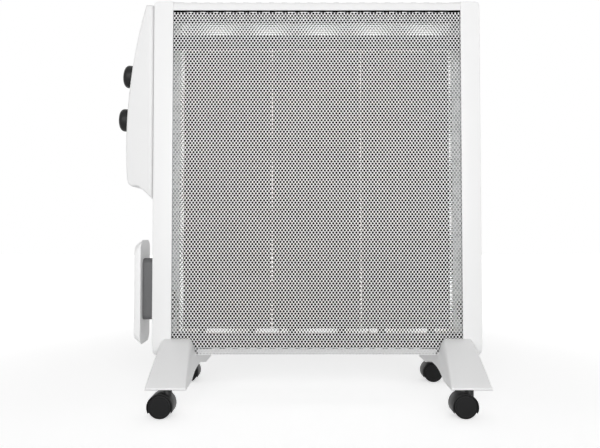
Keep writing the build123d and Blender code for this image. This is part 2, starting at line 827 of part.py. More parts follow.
with BuildPart() as winder_screws:
    for height in winder_screw_heights:
        head_plane = Plane((middle_x - flange_outer, 0, height), z_dir=(1, 0, 0))
        with BuildSketch(head_plane):
            Circle(screw_head_diameter / 2)
        with BuildSketch(head_plane.offset((screw_head_diameter - screw_diameter) / 2)):
            Circle(screw_diameter / 2)
        loft()
        with BuildSketch(head_plane.offset((screw_head_diameter - screw_diameter) / 2)):
            Circle(screw_diameter / 2)
        extrude(amount=winder_thickness + winder_gap + pillar_wall)

# Feet: a beam under the body, and a horn in front and behind that tapers to a toe
def foot_section(distance, top, inner, shoulder):
    """Outline of the left foot across the body at one distance in front of its middle."""
    across, down = shoulder
    bend = 1 - cos(radians(45))
    with BuildSketch(front.offset(distance)) as section:
        with BuildLine():
            Line((-foot_outer, toe_height), (-foot_outer, top - down))
            ThreePointArc(
                (-foot_outer, top - down),
                (-foot_outer + across * bend, top - down * bend),
                (-foot_outer + across, top),
            )
            Line((-foot_outer + across, top), (-inner - across, top))
            ThreePointArc(
                (-inner - across, top),
                (-inner - across * bend, top - down * bend),
                (-inner, top - down),
            )
            Line((-inner, top - down), (-inner, toe_height))
            Line((-inner, toe_height), (-foot_outer, toe_height))
        make_face()
    return section.sketch


toe_distance = foot_length / 2
middle_distance = foot_back + (toe_distance - foot_back) * horn_middle_share
middle_top = horn_top + (toe_height + toe_front - horn_top) * horn_middle_share + horn_middle_bulge
middle_inner = foot_inner + (toe_inner - foot_inner) * horn_middle_share
middle_shoulder = tuple(
    near + (far - near) * horn_middle_share for near, far in zip(horn_shoulder, toe_shoulder)
)
foot_screw_ys = (-foot_screw_spacing / 2, foot_screw_spacing / 2)
arch_radius = ((arch_span / 2) ** 2 + arch_rise**2) / 2 / arch_rise
arch_at_screw = toe_height + arch_rise - (
    arch_radius - sqrt(arch_radius**2 - (foot_screw_spacing / 2) ** 2)
)

with BuildPart() as left_foot:
    loft(
        sections=[
            foot_section(foot_back, horn_top, foot_inner, horn_shoulder),
            foot_section(middle_distance, middle_top, middle_inner, middle_shoulder),
            foot_section(toe_distance, toe_height + toe_front, toe_inner, toe_shoulder),
        ]
    )
    mirror(about=front)
    with BuildSketch(plan.offset(toe_height)):
        with Locations((-(foot_outer + foot_inner) / 2, 0)):
            Rectangle(foot_width, 2 * foot_back)
    extrude(amount=body_bottom - toe_height)
    with BuildSketch(plan.offset(body_bottom)):
        with Locations((-(inner_half - seat_gap + foot_inner) / 2, 0)):
            Rectangle(inner_half - seat_gap - foot_inner, 2 * sheet_inner)
    extrude(amount=sheet_bottom_gap)
    with BuildSketch(side.offset(-half_width)):
        with BuildLine():
            ThreePointArc(
                (-arch_span / 2, toe_height), (0, toe_height + arch_rise), (arch_span / 2, toe_height)
            )
            Line((arch_span / 2, toe_height), (-arch_span / 2, toe_height))
        make_face()
    extrude(amount=half_width, mode=Mode.SUBTRACT)
    with BuildSketch(plan.offset(toe_height)):
        with Locations([(-foot_screw_x, y) for y in foot_screw_ys]):
            Circle(screw_head_diameter / 2 + screw_clearance)
    extrude(amount=arch_at_screw + foot_screw_recess - toe_height, mode=Mode.SUBTRACT)
    with BuildSketch(plan.offset(sheet_bottom)):
        with Locations([(-foot_screw_x, y) for y in foot_screw_ys]):
            Circle(screw_diameter / 2 + screw_clearance)
    extrude(amount=toe_height - sheet_bottom, mode=Mode.SUBTRACT)
    with BuildSketch(plan.offset(toe_height)):
        with Locations([(-castor_half_track_x, sign * castor_half_track_y) for sign in (-1, 1)]):
            Circle(stem_diameter / 2 + fit)
    extrude(amount=stem_in_foot + fit, mode=Mode.SUBTRACT)

with BuildPart() as right_foot:
    mirror(left_foot.part, about=side)

with BuildPart() as foot_screws:
    with BuildSketch(plan.offset(arch_at_screw + foot_screw_recess)):
        with Locations(foot_screw_places):
            RegularPolygon(screw_head_diameter / 2, screw_sides)
    extrude(amount=-foot_screw_head_height)
    with BuildSketch(plan.offset(arch_at_screw + foot_screw_recess)):
        with Locations(foot_screw_places):
            RegularPolygon(screw_diameter / 2, screw_sides)
    extrude(amount=tray_top + screw_diameter - arch_at_screw - foot_screw_recess)

# Castor, built once about its own stem at X = 0, Y = 0, with its wheels trailing towards -X
axle_x = -castor_trail
axle_z = wheel_radius
well_radius = wheel_radius + hood_clearance
hood_radius = well_radius + hood_wall
neck_top = toe_height - neck_gap
wheel_inner_y = castor_width / 2 - wheel_width
castor_front = Plane.XZ

with BuildPart() as castor_hood:
    with BuildSketch(castor_front):
        with Locations((axle_x, axle_z)):
            Circle(hood_radius)
        with Locations((axle_x, axle_z - wheel_radius)):
            Rectangle(2 * hood_radius, 2 * hood_tip_drop, mode=Mode.SUBTRACT)
    extrude(amount=castor_width / 2, both=True)
    with BuildSketch(Plane.XY.offset(axle_z)):
        Circle(neck_diameter / 2)
    extrude(amount=neck_top - axle_z)
    with BuildSketch(castor_front.offset(web_thickness / 2)):
        with Locations((axle_x, axle_z)):
            Circle(well_radius)
    extrude(amount=castor_width, mode=Mode.SUBTRACT)
    with BuildSketch(castor_front.offset(-web_thickness / 2)):
        with Locations((axle_x, axle_z)):
            Circle(well_radius)
    extrude(amount=-castor_width, mode=Mode.SUBTRACT)
    with BuildSketch(Plane.XY.offset(neck_top)):
        Circle(stem_diameter / 2 + fit)
    extrude(amount=-stem_in_hood - fit, mode=Mode.SUBTRACT)
    with BuildSketch(castor_front):
        with Locations((axle_x, axle_z)):
            Circle(axle_diameter / 2 + fit)
    extrude(amount=castor_width, both=True, mode=Mode.SUBTRACT)

with BuildPart() as castor_stem:
    with BuildSketch(Plane.XY.offset(toe_height + stem_in_foot)):
        Circle(stem_diameter / 2)
    extrude(amount=-(stem_in_foot + neck_gap + stem_in_hood))

with BuildPart() as castor_axle:
    with BuildSketch(castor_front):
        with Locations((axle_x, axle_z)):
            Circle(axle_diameter / 2)
    extrude(amount=axle_length / 2, both=True)

with BuildPart() as front_wheel:
    with BuildSketch(castor_front.offset(wheel_inner_y)):
        with Locations((axle_x, axle_z)):
            Circle(wheel_radius)
    extrude(amount=wheel_width)
    outer_edge = front_wheel.edges().filter_by(GeomType.CIRCLE).group_by(Axis.Y)[0]
    chamfer(outer_edge, wheel_rim_bevel)
    with BuildSketch(castor_front.offset(wheel_inner_y + wheel_width)):
        with Locations((axle_x, axle_z)):
            Circle(wheel_dish_radius)
    extrude(amount=-wheel_dish_depth, mode=Mode.SUBTRACT)
    with BuildSketch(castor_front.offset(wheel_inner_y)):
        with Locations((axle_x, axle_z)):
            Circle(axle_diameter / 2 + fit)
    extrude(amount=axle_length / 2 - wheel_inner_y + fit, mode=Mode.SUBTRACT)

with BuildPart() as rear_wheel:
    mirror(front_wheel.part, about=Plane.XZ)

castor_pieces = {
    "stem": castor_stem,
    "hood": castor_hood,
    "axle": castor_axle,
    "front_wheel": front_wheel,
    "rear_wheel": rear_wheel,
}
castor_places = {
    "front_left": (-1, -1),
    "front_right": (1, -1),
    "rear_left": (-1, 1),
    "rear_right": (1, 1),
}

# Finished pieces
pieces = {
    "left_pillar": left_pillar,
    "right_pillar": right_pillar,
    "left_end_plate": left_end_plate,
    "right_end_plate": right_end_plate,
    "body_screws": body_screws,
    "front_grille": front_grille,
    "rear_grille": rear_grille,
    "top_grille": top_grille,
    "vent_channel": vent_channel,
    "bottom_tray": bottom_tray,
    "upper_element_rail": upper_element_rail,
    "lower_element_rail": lower_element_rail,
    "heating_panel_left": heating_panel_left,
    "heating_panel_centre": heating_panel_centre,
    "heating_panel_right": heating_panel_right,
    "panel_clips": panel_clips,
    "ceramic_insulators": ceramic_insulators,
    "terminal_block": terminal_block,
    "tip_over_switch": tip_over_switch,
    "thermal_cutout": thermal_cutout,
    "element_leads": element_leads,
    "control_box": control_box,
    "control_box_back": control_box_back,
    "cord_gland": cord_gland,
    "thermostat": thermostat,
    "power_switch": power_switch,
    "pilot_lamp": pilot_lamp,
    "thermostat_knob": thermostat_knob,
    "thermostat_spindle": thermostat_spindle,
    "power_knob": power_knob,
    "power_spindle": power_spindle,
    "winder_post": winder_post,
    "winder_flange": winder_flange,
    "winder_screws": winder_screws,
    "left_foot": left_foot,
    "right_foot": right_foot,
    "foot_screws": foot_screws,
}

os.makedirs("parts", exist_ok=True)
for name, piece in pieces.items():
    piece.part.label = name
    export_step(piece.part, f"parts/{name}.step")

for corner, (sign_x, sign_y) in castor_places.items():
    place = Location((middle_x + sign_x * castor_half_track_x, sign_y * castor_half_track_y, 0))
    for kind, piece in castor_pieces.items():
        placed = piece.part.moved(place)
        placed.label = f"{corner}_castor_{kind}"
        export_step(placed, f"parts/{placed.label}.step")

print("body middle at X", round(middle_x, 3))
print("knob axes at Z", [round(height, 2) for height in knob_heights])
print("knob tilts", [round(degrees(asin((h - box_arc_z) / box_arc_radius)), 3) for h in knob_heights])
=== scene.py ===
"""Portable panel radiator on castors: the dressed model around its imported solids."""

import logging
import math
from collections.abc import Callable, Iterable, Sequence
from dataclasses import dataclass
from enum import Enum
from typing import Any

import bmesh
import bpy
from mathutils import Matrix, Vector


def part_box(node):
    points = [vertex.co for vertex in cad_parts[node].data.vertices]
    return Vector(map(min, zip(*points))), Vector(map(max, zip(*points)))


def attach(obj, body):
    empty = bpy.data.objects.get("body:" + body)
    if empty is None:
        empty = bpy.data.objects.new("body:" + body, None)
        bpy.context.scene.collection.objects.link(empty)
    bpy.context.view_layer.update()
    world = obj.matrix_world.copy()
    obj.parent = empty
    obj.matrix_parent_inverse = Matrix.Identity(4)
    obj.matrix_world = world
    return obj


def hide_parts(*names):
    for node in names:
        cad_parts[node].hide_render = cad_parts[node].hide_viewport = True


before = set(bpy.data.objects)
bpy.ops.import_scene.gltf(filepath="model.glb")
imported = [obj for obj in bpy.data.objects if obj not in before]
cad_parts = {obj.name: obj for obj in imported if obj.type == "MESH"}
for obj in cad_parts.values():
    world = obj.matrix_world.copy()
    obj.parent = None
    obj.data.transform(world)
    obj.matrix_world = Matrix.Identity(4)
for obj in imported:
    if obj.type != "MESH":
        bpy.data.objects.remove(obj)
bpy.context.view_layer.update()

BMesh = bmesh.types.BMesh
BMVert = bmesh.types.BMVert
BMEdge = bmesh.types.BMEdge
BMFace = bmesh.types.BMFace
Socket = bpy.types.NodeSocket
Inputs = dict[str | int, Any]
Point = tuple[float, float]
Triple = tuple[float, float, float]

MM = 0.001
CUT = 0.001 * MM
WELD = 0.002 * MM
CLOSE = 0.01 * MM
BODY = "body"
LOG = logging.getLogger("radiator")

# The body's middle plane, half way between the pillars.
MIDDLE_X = (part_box("left_pillar")[0].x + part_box("right_pillar")[1].x) / 2
# Height over which a pillar's lower end is rounded, and how far its faces come in there.
PILLAR_END_RUN = 26.0 * MM
PILLAR_END_DROP = 15.0 * MM
# Angles of the cuts along a rounding that draws two faces in.
DRAW_IN_DEGREES = (0, 20, 40, 60, 80)


class Grain(Enum):
    """Small surface texture of a finish."""

    SATIN = "fine spark-eroded texture of a moulding"
    PEEL = "orange peel of powder coat"
    SPANGLE = "zinc crystals on galvanised sheet"
    BRUSHED = "fine lines on plated steel"
    MICA = "flakes in a mica board"
    RUBBERY = "soft even texture"


@dataclass(frozen=True)
class GrainSettings:
    """Scale and strength of one surface texture.

    Attributes:
        scale: Features per metre.
        strength: Strength of the bump.
        depth_mm: Height of the bump, in millimetres.
        mottle: Share by which the colour varies.
        stretch: Scale factors along X, Y and Z.
    """

    scale: float
    strength: float
    depth_mm: float
    mottle: float
    stretch: Triple = (1.0, 1.0, 1.0)


GRAINS = {
    Grain.SATIN: GrainSettings(1500.0, 0.25, 0.03, 0.012),
    Grain.PEEL: GrainSettings(750.0, 0.20, 0.05, 0.012),
    Grain.SPANGLE: GrainSettings(160.0, 0.08, 0.05, 0.16),
    Grain.BRUSHED: GrainSettings(900.0, 0.20, 0.03, 0.06, (1.0, 1.0, 0.06)),
    Grain.MICA: GrainSettings(420.0, 0.30, 0.08, 0.35),
    Grain.RUBBERY: GrainSettings(900.0, 0.15, 0.05, 0.05),
}
# Places on the fine pattern of the darkest and the palest mottle.
MOTTLE_MARKS = (0.3, 0.7)
FINE_DETAIL = 2.0
PATCH_SCALE = 14.0
PATCH_DETAIL = 3.0
ROUGHNESS_SPREAD = 0.15
COAT_ROUGHNESS = 0.15
# Pointiness at which wear starts and at which it is full, and the grey of worn edges.
WEAR_MARKS = (0.52, 0.62)
WEAR_LEVEL = 0.6
# Linear grey of the painted shade that darkens faces near the middle plane, in place of the shade
# inside the body.
PAINTED_SHADE_LEVEL = 0.02
# Sockets of the mix node for colours.
MIX_SHARE, MIX_FROM, MIX_TO, MIX_RESULT = 0, 6, 7, 2


def grey(level: float) -> Triple:
    """Returns the neutral colour of a linear level."""
    return (level, level, level)


@dataclass
class Graph:
    """A node tree that is filled node by node.

    Attributes:
        tree: The node tree.
    """

    tree: bpy.types.NodeTree

    def add(self, kind: str, inputs: Inputs | None = None, **settings: str) -> bpy.types.Node:
        """Adds a node.

        Args:
            kind: Type of the node, without its first words.
            inputs: Values or sockets for its inputs, by name or number.
            settings: Its own settings.

        Returns:
            The new node.
        """
        node = self.tree.nodes.new(f"ShaderNode{kind}")
        for name, value in settings.items():
            setattr(node, name, value)
        self.fill(node, inputs or {})
        return node

    def fill(self, node: bpy.types.Node | str, inputs: Inputs) -> None:
        """Sets or links the inputs of a node.

        Args:
            node: The node, or its name.
            inputs: Values or sockets, by the input's name or number.
        """
        if isinstance(node, str):
            node = self.tree.nodes[node]
        for name, value in inputs.items():
            if isinstance(value, Socket):
                self.tree.links.new(value, node.inputs[name])
            else:
                node.inputs[name].default_value = value

    def math(self, operation: str, *values: Any) -> Socket:
        """Returns the result of a maths node on values or sockets."""
        return self.add("Math", dict(enumerate(values)), operation=operation).outputs[0]

    def seen_by(self, *rays: str) -> Socket:
        """Tells some kinds of rays from the others.

        Args:
            rays: Names of the kinds, such as "Camera".

        Returns:
            The socket that is 1 for rays of these kinds and 0 for the others.
        """
        kinds = self.add("LightPath").outputs
        seen = kinds[f"Is {rays[0]} Ray"]
        for ray in rays[1:]:
            seen = self.math("MAXIMUM", seen, kinds[f"Is {ray} Ray"])
        return seen


@dataclass(frozen=True)
class Finish:
    """A surface finish, made as a node material on Object coordinates.

    Attributes:
        name: Name of the material.
        slot: Material slot of the record that the finish stands for; not used.
        colour: Linear base colour.
        roughness: Middle value of the roughness.
        grain: Small surface texture.
        metallic: 1 for bare metal, otherwise 0.
        coat: Weight of the clear coat.
        edge_wear: Share by which worn edges and corners are paler.
        specular: Strength of the plain reflection, 0.5 for a common moulding.
        painted_shade_within: Distance from the plane Y = 0 within which the surface is painted near
            black as shade, or 0.
    """

    name: str
    slot: str
    colour: Triple
    roughness: float
    grain: Grain
    metallic: float = 0.0
    coat: float = 0.0
    edge_wear: float = 0.0
    specular: float = 0.5
    painted_shade_within: float = 0.0

    def material(self) -> bpy.types.Material:
        """Makes the material on its first use.

        Returns:
            The material.
        """
        material = bpy.data.materials.get(self.name)
        if material is None:
            material = bpy.data.materials.new(self.name)
            material.use_nodes = True
            self._wire(Graph(material.node_tree))
        return material

    def _wire(self, graph: Graph) -> None:
        """Wires the material's shader.

        Args:
            graph: Node tree of the material.
        """
        grain = GRAINS[self.grain]
        place = graph.add("TexCoord").outputs["Object"]
        mapping = graph.add("Mapping", {"Scale": grain.stretch, "Vector": place})
        fine = self._pattern(graph, mapping.outputs["Vector"])
        patches = {"Scale": PATCH_SCALE, "Detail": PATCH_DETAIL, "Vector": place}
        spread = {
            "Value": graph.add("TexNoise", patches).outputs["Fac"],
            "To Min": self.roughness * (1 - ROUGHNESS_SPREAD),
            "To Max": self.roughness * (1 + ROUGHNESS_SPREAD),
        }
        height = {"Strength": grain.strength, "Distance": grain.depth_mm * MM, "Height": fine}
        surface = {
            "Base Color": self._base_colour(graph, fine, place),
            "Roughness": graph.add("MapRange", spread).outputs["Result"],
            "Normal": graph.add("Bump", height).outputs["Normal"],
            "Metallic": self.metallic,
            "Specular IOR Level": self.specular,
            "Coat Weight": self.coat,
            "Coat Roughness": COAT_ROUGHNESS,
        }
        graph.fill("Principled BSDF", surface)

    def _pattern(self, graph: Graph, place: Socket) -> Socket:
        """Makes the fine pattern of the grain.

        Args:
            graph: Node tree of the material.
            place: Socket of the scaled coordinates.

        Returns:
            The socket that carries the pattern, from 0 to 1.
        """
        inputs = {"Scale": GRAINS[self.grain].scale, "Vector": place}
        if self.grain in (Grain.SPANGLE, Grain.MICA):
            cells = graph.add("TexVoronoi", inputs).outputs["Color"]
            return graph.add("SeparateColor", {"Color": cells}).outputs["Red"]
        return graph.add("TexNoise", inputs | {"Detail": FINE_DETAIL}).outputs["Fac"]

    def _base_colour(self, graph: Graph, fine: Socket, place: Socket) -> Socket:
        """Varies the base colour with the grain, worn edges and painted shade on the inner faces.

        Args:
            graph: Node tree of the material.
            fine: Socket of the fine pattern.
            place: Socket of the coordinates.

        Returns:
            The socket of the colour.
        """
        ramp = graph.add("ValToRGB", {"Fac": fine})
        mottle = GRAINS[self.grain].mottle
        factors = (1 - mottle, 1 + mottle)
        for end, mark, factor in zip(ramp.color_ramp.elements, MOTTLE_MARKS, factors):
            end.position = mark
            end.color = (*(min(channel * factor, 1.0) for channel in self.colour), 1.0)
        colour = ramp.outputs["Color"]
        if self.edge_wear > 0:
            pointed = graph.add("NewGeometry").outputs["Pointiness"]
            start, full = WEAR_MARKS
            wear = {"Value": pointed, "From Min": start, "From Max": full, "To Max": self.edge_wear}
            share = graph.add("MapRange", wear).outputs["Result"]
            colour = self._towards(graph, colour, share, WEAR_LEVEL)
        # Painted shade: faces near the middle plane, such as the sheets' inner sides, are made near
        # black to stand in for the shade inside the body.
        if self.painted_shade_within > 0:
            depth = graph.add("SeparateXYZ", {"Vector": place}).outputs["Y"]
            share = graph.math("LESS_THAN", graph.math("ABSOLUTE", depth), self.painted_shade_within)
            colour = self._towards(graph, colour, share, PAINTED_SHADE_LEVEL)
        return colour

    def _towards(self, graph: Graph, colour: Socket, share: Socket, level: float) -> Socket:
        """Mixes a colour towards a grey.

        Args:
            graph: Node tree of the material.
            colour: Socket of the colour.
            share: Socket of the grey's share.
            level: Linear level of the grey.

        Returns:
            The socket of the mixed colour.
        """
        inputs = {MIX_SHARE: share, MIX_FROM: colour, MIX_TO: (*grey(level), 1.0)}
        return graph.add("Mix", inputs, data_type="RGBA").outputs[MIX_RESULT]


WHITE_PLASTIC = Finish("white_moulding", "white_plastic", grey(0.865), 0.38, Grain.SATIN)
WHITE_PAINT = Finish("white_powder_coat", "white_paint", grey(0.815), 0.42, Grain.PEEL)
# A greyer copy of the pillars' white moulding for the control box: its lower level is painted
# shade.
SHADED_BOX_PLASTIC = Finish("white_box_moulding_painted_shade", "white_plastic", grey(0.80), 0.40, Grain.SATIN)
# The grilles' powder coat with painted shade: its inner faces are made near black for the shade
# inside the body.
GRILLE_PAINT_AND_SHADE = Finish(
    "grille_powder_coat_and_painted_shade", "white_paint", grey(0.87), 0.42, Grain.PEEL, painted_shade_within=29.3 * MM
)
GALVANISED = Finish(
    "galvanised_sheet", "galvanised_steel", (0.55, 0.56, 0.57), 0.42, Grain.SPANGLE, metallic=0.9
)
BRIGHT_STEEL = Finish(
    "plated_steel", "bright_steel", (0.62, 0.62, 0.61), 0.28, Grain.BRUSHED, metallic=1.0
)
# Heat-proof paint on the inner channel, rails and clips, made near black as painted shade for the
# shaded inside of the body.
DARK_PAINT_AND_SHADE = Finish(
    "heatproof_paint_and_painted_shade", "dark_steel", grey(0.008), 0.6, Grain.PEEL, specular=0.1
)
MICA_BOARD = Finish(
    "mica_heating_board", "mica_board", (0.008, 0.0075, 0.007), 0.6, Grain.MICA, specular=0.1
)
CERAMIC = Finish(
    "dark_ceramic_liner", "ceramic_liner", (0.05, 0.045, 0.04), 0.7, Grain.RUBBERY, specular=0.2
)
PHENOLIC = Finish("brown_grey_moulding", "phenolic", (0.05, 0.04, 0.032), 0.5, Grain.SATIN)
LEAD_JACKET = Finish("silicone_jacket", "lead_jacket", (0.10, 0.09, 0.08), 0.6, Grain.RUBBERY)
BLACK_PLASTIC = Finish(
    "black_moulding",
    "black_plastic",
    (0.009, 0.009, 0.0095),
    0.40,
    Grain.SATIN,
    edge_wear=0.04,
    specular=0.22,
)
BLACK_TREAD = Finish(
    "black_wheel_nylon",
    "black_tread",
    (0.009, 0.009, 0.0095),
    0.38,
    Grain.RUBBERY,
    edge_wear=0.05,
    specular=0.15,
)
GREY_PLASTIC = Finish(
    "dark_grey_moulding", "grey_plastic", (0.115, 0.115, 0.118), 0.5, Grain.SATIN
)
AMBER_LENS = Finish("amber_lens", "amber_lens", (0.75, 0.18, 0.03), 0.12, Grain.SATIN, coat=0.6)
WHITE_PRINT = Finish("white_dial_print", "black_plastic", grey(0.80), 0.45, Grain.RUBBERY)
GREY_PRINT = Finish("grey_dial_print", "white_plastic", (0.10, 0.10, 0.11), 0.5, Grain.RUBBERY)

CAD_FINISHES = {
    GALVANISED: ("left_end_plate", "right_end_plate"),
    BRIGHT_STEEL: ("body_screws", "thermostat_spindle", "power_spindle"),
    WHITE_PAINT: ("bottom_tray",),
    DARK_PAINT_AND_SHADE: ("vent_channel", "upper_element_rail", "lower_element_rail", "panel_clips"),
    MICA_BOARD: ("heating_panel_left", "heating_panel_centre", "heating_panel_right"),
    CERAMIC: ("ceramic_insulators",),
    PHENOLIC: ("terminal_block", "tip_over_switch", "thermal_cutout", "thermostat", "power_switch"),
    LEAD_JACKET: ("element_leads",),
    WHITE_PLASTIC: ("control_box_back",),
    BLACK_PLASTIC: ("cord_gland",),
    AMBER_LENS: ("pilot_lamp",),
}


def dress_cad(node: str, finish: Finish) -> None:
    """Gives a CAD node its finish and leaves its shape alone."""
    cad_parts[node].data.materials.clear()
    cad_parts[node].data.materials.append(finish.material())


def link(name: str, data: bpy.types.ID) -> bpy.types.Object:
    """Adds an object to the scene.

    Args:
        name: Name of the object.
        data: Its mesh, camera or light.

    Returns:
        The new object.
    """
    added = bpy.data.objects.new(name, data)
    bpy.context.scene.collection.objects.link(added)
    return added


def deliver(
    bm: BMesh,
    name: str,
    finish: Finish,
    body: str = BODY,
    replaces: Sequence[str] = (),
    smooth_degrees: float = 40.0,
) -> None:
    """Turns a finished bmesh into a piece of the radiator, dressed and tied to its body.

    Args:
        bm: The shape, in metres in the row's frame. It is freed.
        name: Name of the piece.
        finish: Finish of all its faces.
        body: CAD body that the piece rides on.
        replaces: CAD nodes that the piece stands for.
        smooth_degrees: Edges sharper than this stay sharp. At 0 all faces stay flat.
    """
    bmesh.ops.remove_doubles(bm, verts=bm.verts, dist=WELD)
    bmesh.ops.recalc_face_normals(bm, faces=bm.faces)
    mesh = bpy.data.meshes.new(name)
    bm.to_mesh(mesh)
    bm.free()
    if smooth_degrees > 0:
        mesh.shade_smooth()
        mesh.set_sharp_from_angle(angle=math.radians(smooth_degrees))
    mesh.materials.append(finish.material())
    piece = link(name, mesh)
    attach(piece, body)
    if replaces:
        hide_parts(*replaces)
    LOG.info("%s: %d faces on %s", name, len(mesh.polygons), body)


def near(value: float, target: float) -> bool:
    """Returns True if two coordinates are the same but for rounding."""
    return abs(value - target) < CLOSE


def of_kind(items: Iterable[Any], kind: type) -> list[Any]:
    """Returns the items of one kind."""
    return [item for item in items if isinstance(item, kind)]


def whole(bm: BMesh) -> list[Any]:
    """Returns all vertices, edges and faces of a bmesh."""
    return [*bm.verts, *bm.edges, *bm.faces]


def flat_outline(bm: BMesh, points: Iterable[Sequence[float]]) -> BMFace:
    """Returns a new flat face through corner points that are given in order."""
    return bm.faces.new([bm.verts.new(point) for point in points])


def add_block(bm: BMesh, place: Matrix, size: Triple) -> None:
    """Adds a plain block of a size, round the origin of its place."""
    scale = Matrix.Diagonal((*size, 1.0))
    bmesh.ops.create_cube(bm, size=1.0, matrix=place @ scale)


def pull(bm: BMesh, faces: Iterable[BMFace], by: Vector) -> list[BMFace]:
    """Extrudes a region of faces and moves the new faces.

    Args:
        bm: The bmesh.
        faces: Faces to extrude.
        by: How far the new faces move.

    Returns:
        The moved faces.
    """
    made = bmesh.ops.extrude_face_region(bm, geom=list(faces), use_keep_orig=True)["geom"]
    bmesh.ops.translate(bm, verts=of_kind(made, BMVert), vec=by)
    return of_kind(made, BMFace)


def round_off(
    bm: BMesh, items: Iterable[BMVert | BMEdge], radius: float, segments: int, affect: str = "EDGES"
) -> None:
    """Rounds edges of a solid, or corner points of a flat face.

    Args:
        bm: The bmesh.
        items: Edges or corner points to round.
        radius: Radius in metres.
        segments: Straight runs in each arc.
        affect: "EDGES" or "VERTICES".
    """
    bmesh.ops.bevel(
        bm,
        geom=list(items),
        offset=radius,
        offset_type="OFFSET",
        affect=affect,
        segments=segments,
        profile=0.5,
        material=-1,
        clamp_overlap=affect == "EDGES",
    )


def sharp_edges(
    bm: BMesh, least_degrees: float, test: Callable[[Vector], bool] = lambda co: True
) -> list[BMEdge]:
    """Finds sharp edges whose both ends pass a test.

    Args:
        bm: The bmesh.
        least_degrees: Least angle between the edge's two faces.
        test: Test of an end's position.

    Returns:
        The edges found.
    """
    least = math.radians(least_degrees)
    return [
        edge
        for edge in bm.edges
        if len(edge.link_faces) == 2
        and edge.calc_face_angle(0.0) > least
        and all(test(vert.co) for vert in edge.verts)
    ]


def cut_off(bm: BMesh, verts: Sequence[BMVert], place: Vector, outwards: Vector) -> None:
    """Cuts off what lies past a plane and closes the cut.

    Args:
        bm: The bmesh.
        verts: Vertices of the part that is cut.
        place: A point on the plane.
        outwards: Direction of what is cut off.
    """
    edges = {edge for vert in verts for edge in vert.link_edges}
    faces = {face for vert in verts for face in vert.link_faces}
    cut = bmesh.ops.bisect_plane(
        bm,
        geom=[*verts, *edges, *faces],
        dist=CUT,
        plane_co=place,
        plane_no=outwards,
        clear_outer=True,
    )["geom_cut"]
    rims = [edge for edge in of_kind(cut, BMEdge) if edge.is_boundary]
    bmesh.ops.holes_fill(bm, edges=rims, sides=0)


def turned(profile: Iterable[Point], steps: int, place: Matrix) -> BMesh:
    """Turns a profile of radii and heights into a round body.

    Args:
        profile: Points of radius and height, in metres.
        steps: Number of faces round the body.
        place: Place of the body, whose axis is the matrix's Z.

    Returns:
        The bmesh of the body.
    """
    bm = bmesh.new()
    verts = [bm.verts.new((radius, 0.0, height)) for radius, height in profile]
    edges = [bm.edges.new(pair) for pair in zip(verts, verts[1:])]
    bmesh.ops.spin(
        bm,
        geom=verts + edges,
        cent=(0, 0, 0),
        axis=(0, 0, 1),
        angle=math.tau,
        steps=steps,
        use_merge=True,
    )
    bmesh.ops.remove_doubles(bm, verts=bm.verts, dist=WELD)
    bmesh.ops.transform(bm, matrix=place, verts=bm.verts)
    return bm


def arc_points(centre: Point, radius: float, start: float, end: float, steps: int) -> list[Point]:
    """Points on an arc, its two ends included.

    Args:
        centre: Centre of the arc.
        radius: Radius.
        start: First angle, in degrees.
        end: Last angle, in degrees.
        steps: Straight runs in the arc.

    Returns:
        The points in order.
    """
    angles = [math.radians(start + (end - start) * step / steps) for step in range(steps + 1)]
    return [(centre[0] + radius * math.cos(a), centre[1] + radius * math.sin(a)) for a in angles]


def bow_edge(bm: BMesh, edge: BMEdge, centre: Vector, steps: int) -> None:
    """Bends a straight edge of an upright face onto an arc through its two ends.

    Args:
        bm: The bmesh.
        edge: The edge.
        centre: Centre of the arc, in the edge's plane.
        steps: Straight runs in the arc.
    """
    radius = (edge.verts[0].co - centre).length
    made = bmesh.ops.subdivide_edges(bm, edges=[edge], cuts=steps - 1)["geom_inner"]
    for vert in of_kind(made, BMVert):
        vert.co = centre + (vert.co - centre).normalized() * radius


def draw_in(bm: BMesh, along: int, start: float, run: float, drop: float, half: float) -> None:
    """Rounds the front and rear faces inwards as they near an end.

    Args:
        bm: The bmesh, which is alike in front and behind.
        along: Index of the axis that leads to the end.
        start: Coordinate at which the rounding starts.
        run: Distance from there to the end, with its sign.
        drop: How far the faces have come inwards at the end.
        half: Half depth of the shape.
    """
    normal = Vector([float(axis == along) for axis in range(3)])
    for degrees in DRAW_IN_DEGREES:
        place = normal * (start + run * math.sin(math.radians(degrees)))
        bmesh.ops.bisect_plane(bm, geom=whole(bm), dist=CUT, plane_co=place, plane_no=normal)
    for vert in bm.verts:
        share = (vert.co[along] - start) / run
        if share > 0:
            fall = drop * (1 - math.sqrt(1 - min(share, 1.0) ** 2))
            vert.co.y *= (half - fall) / half


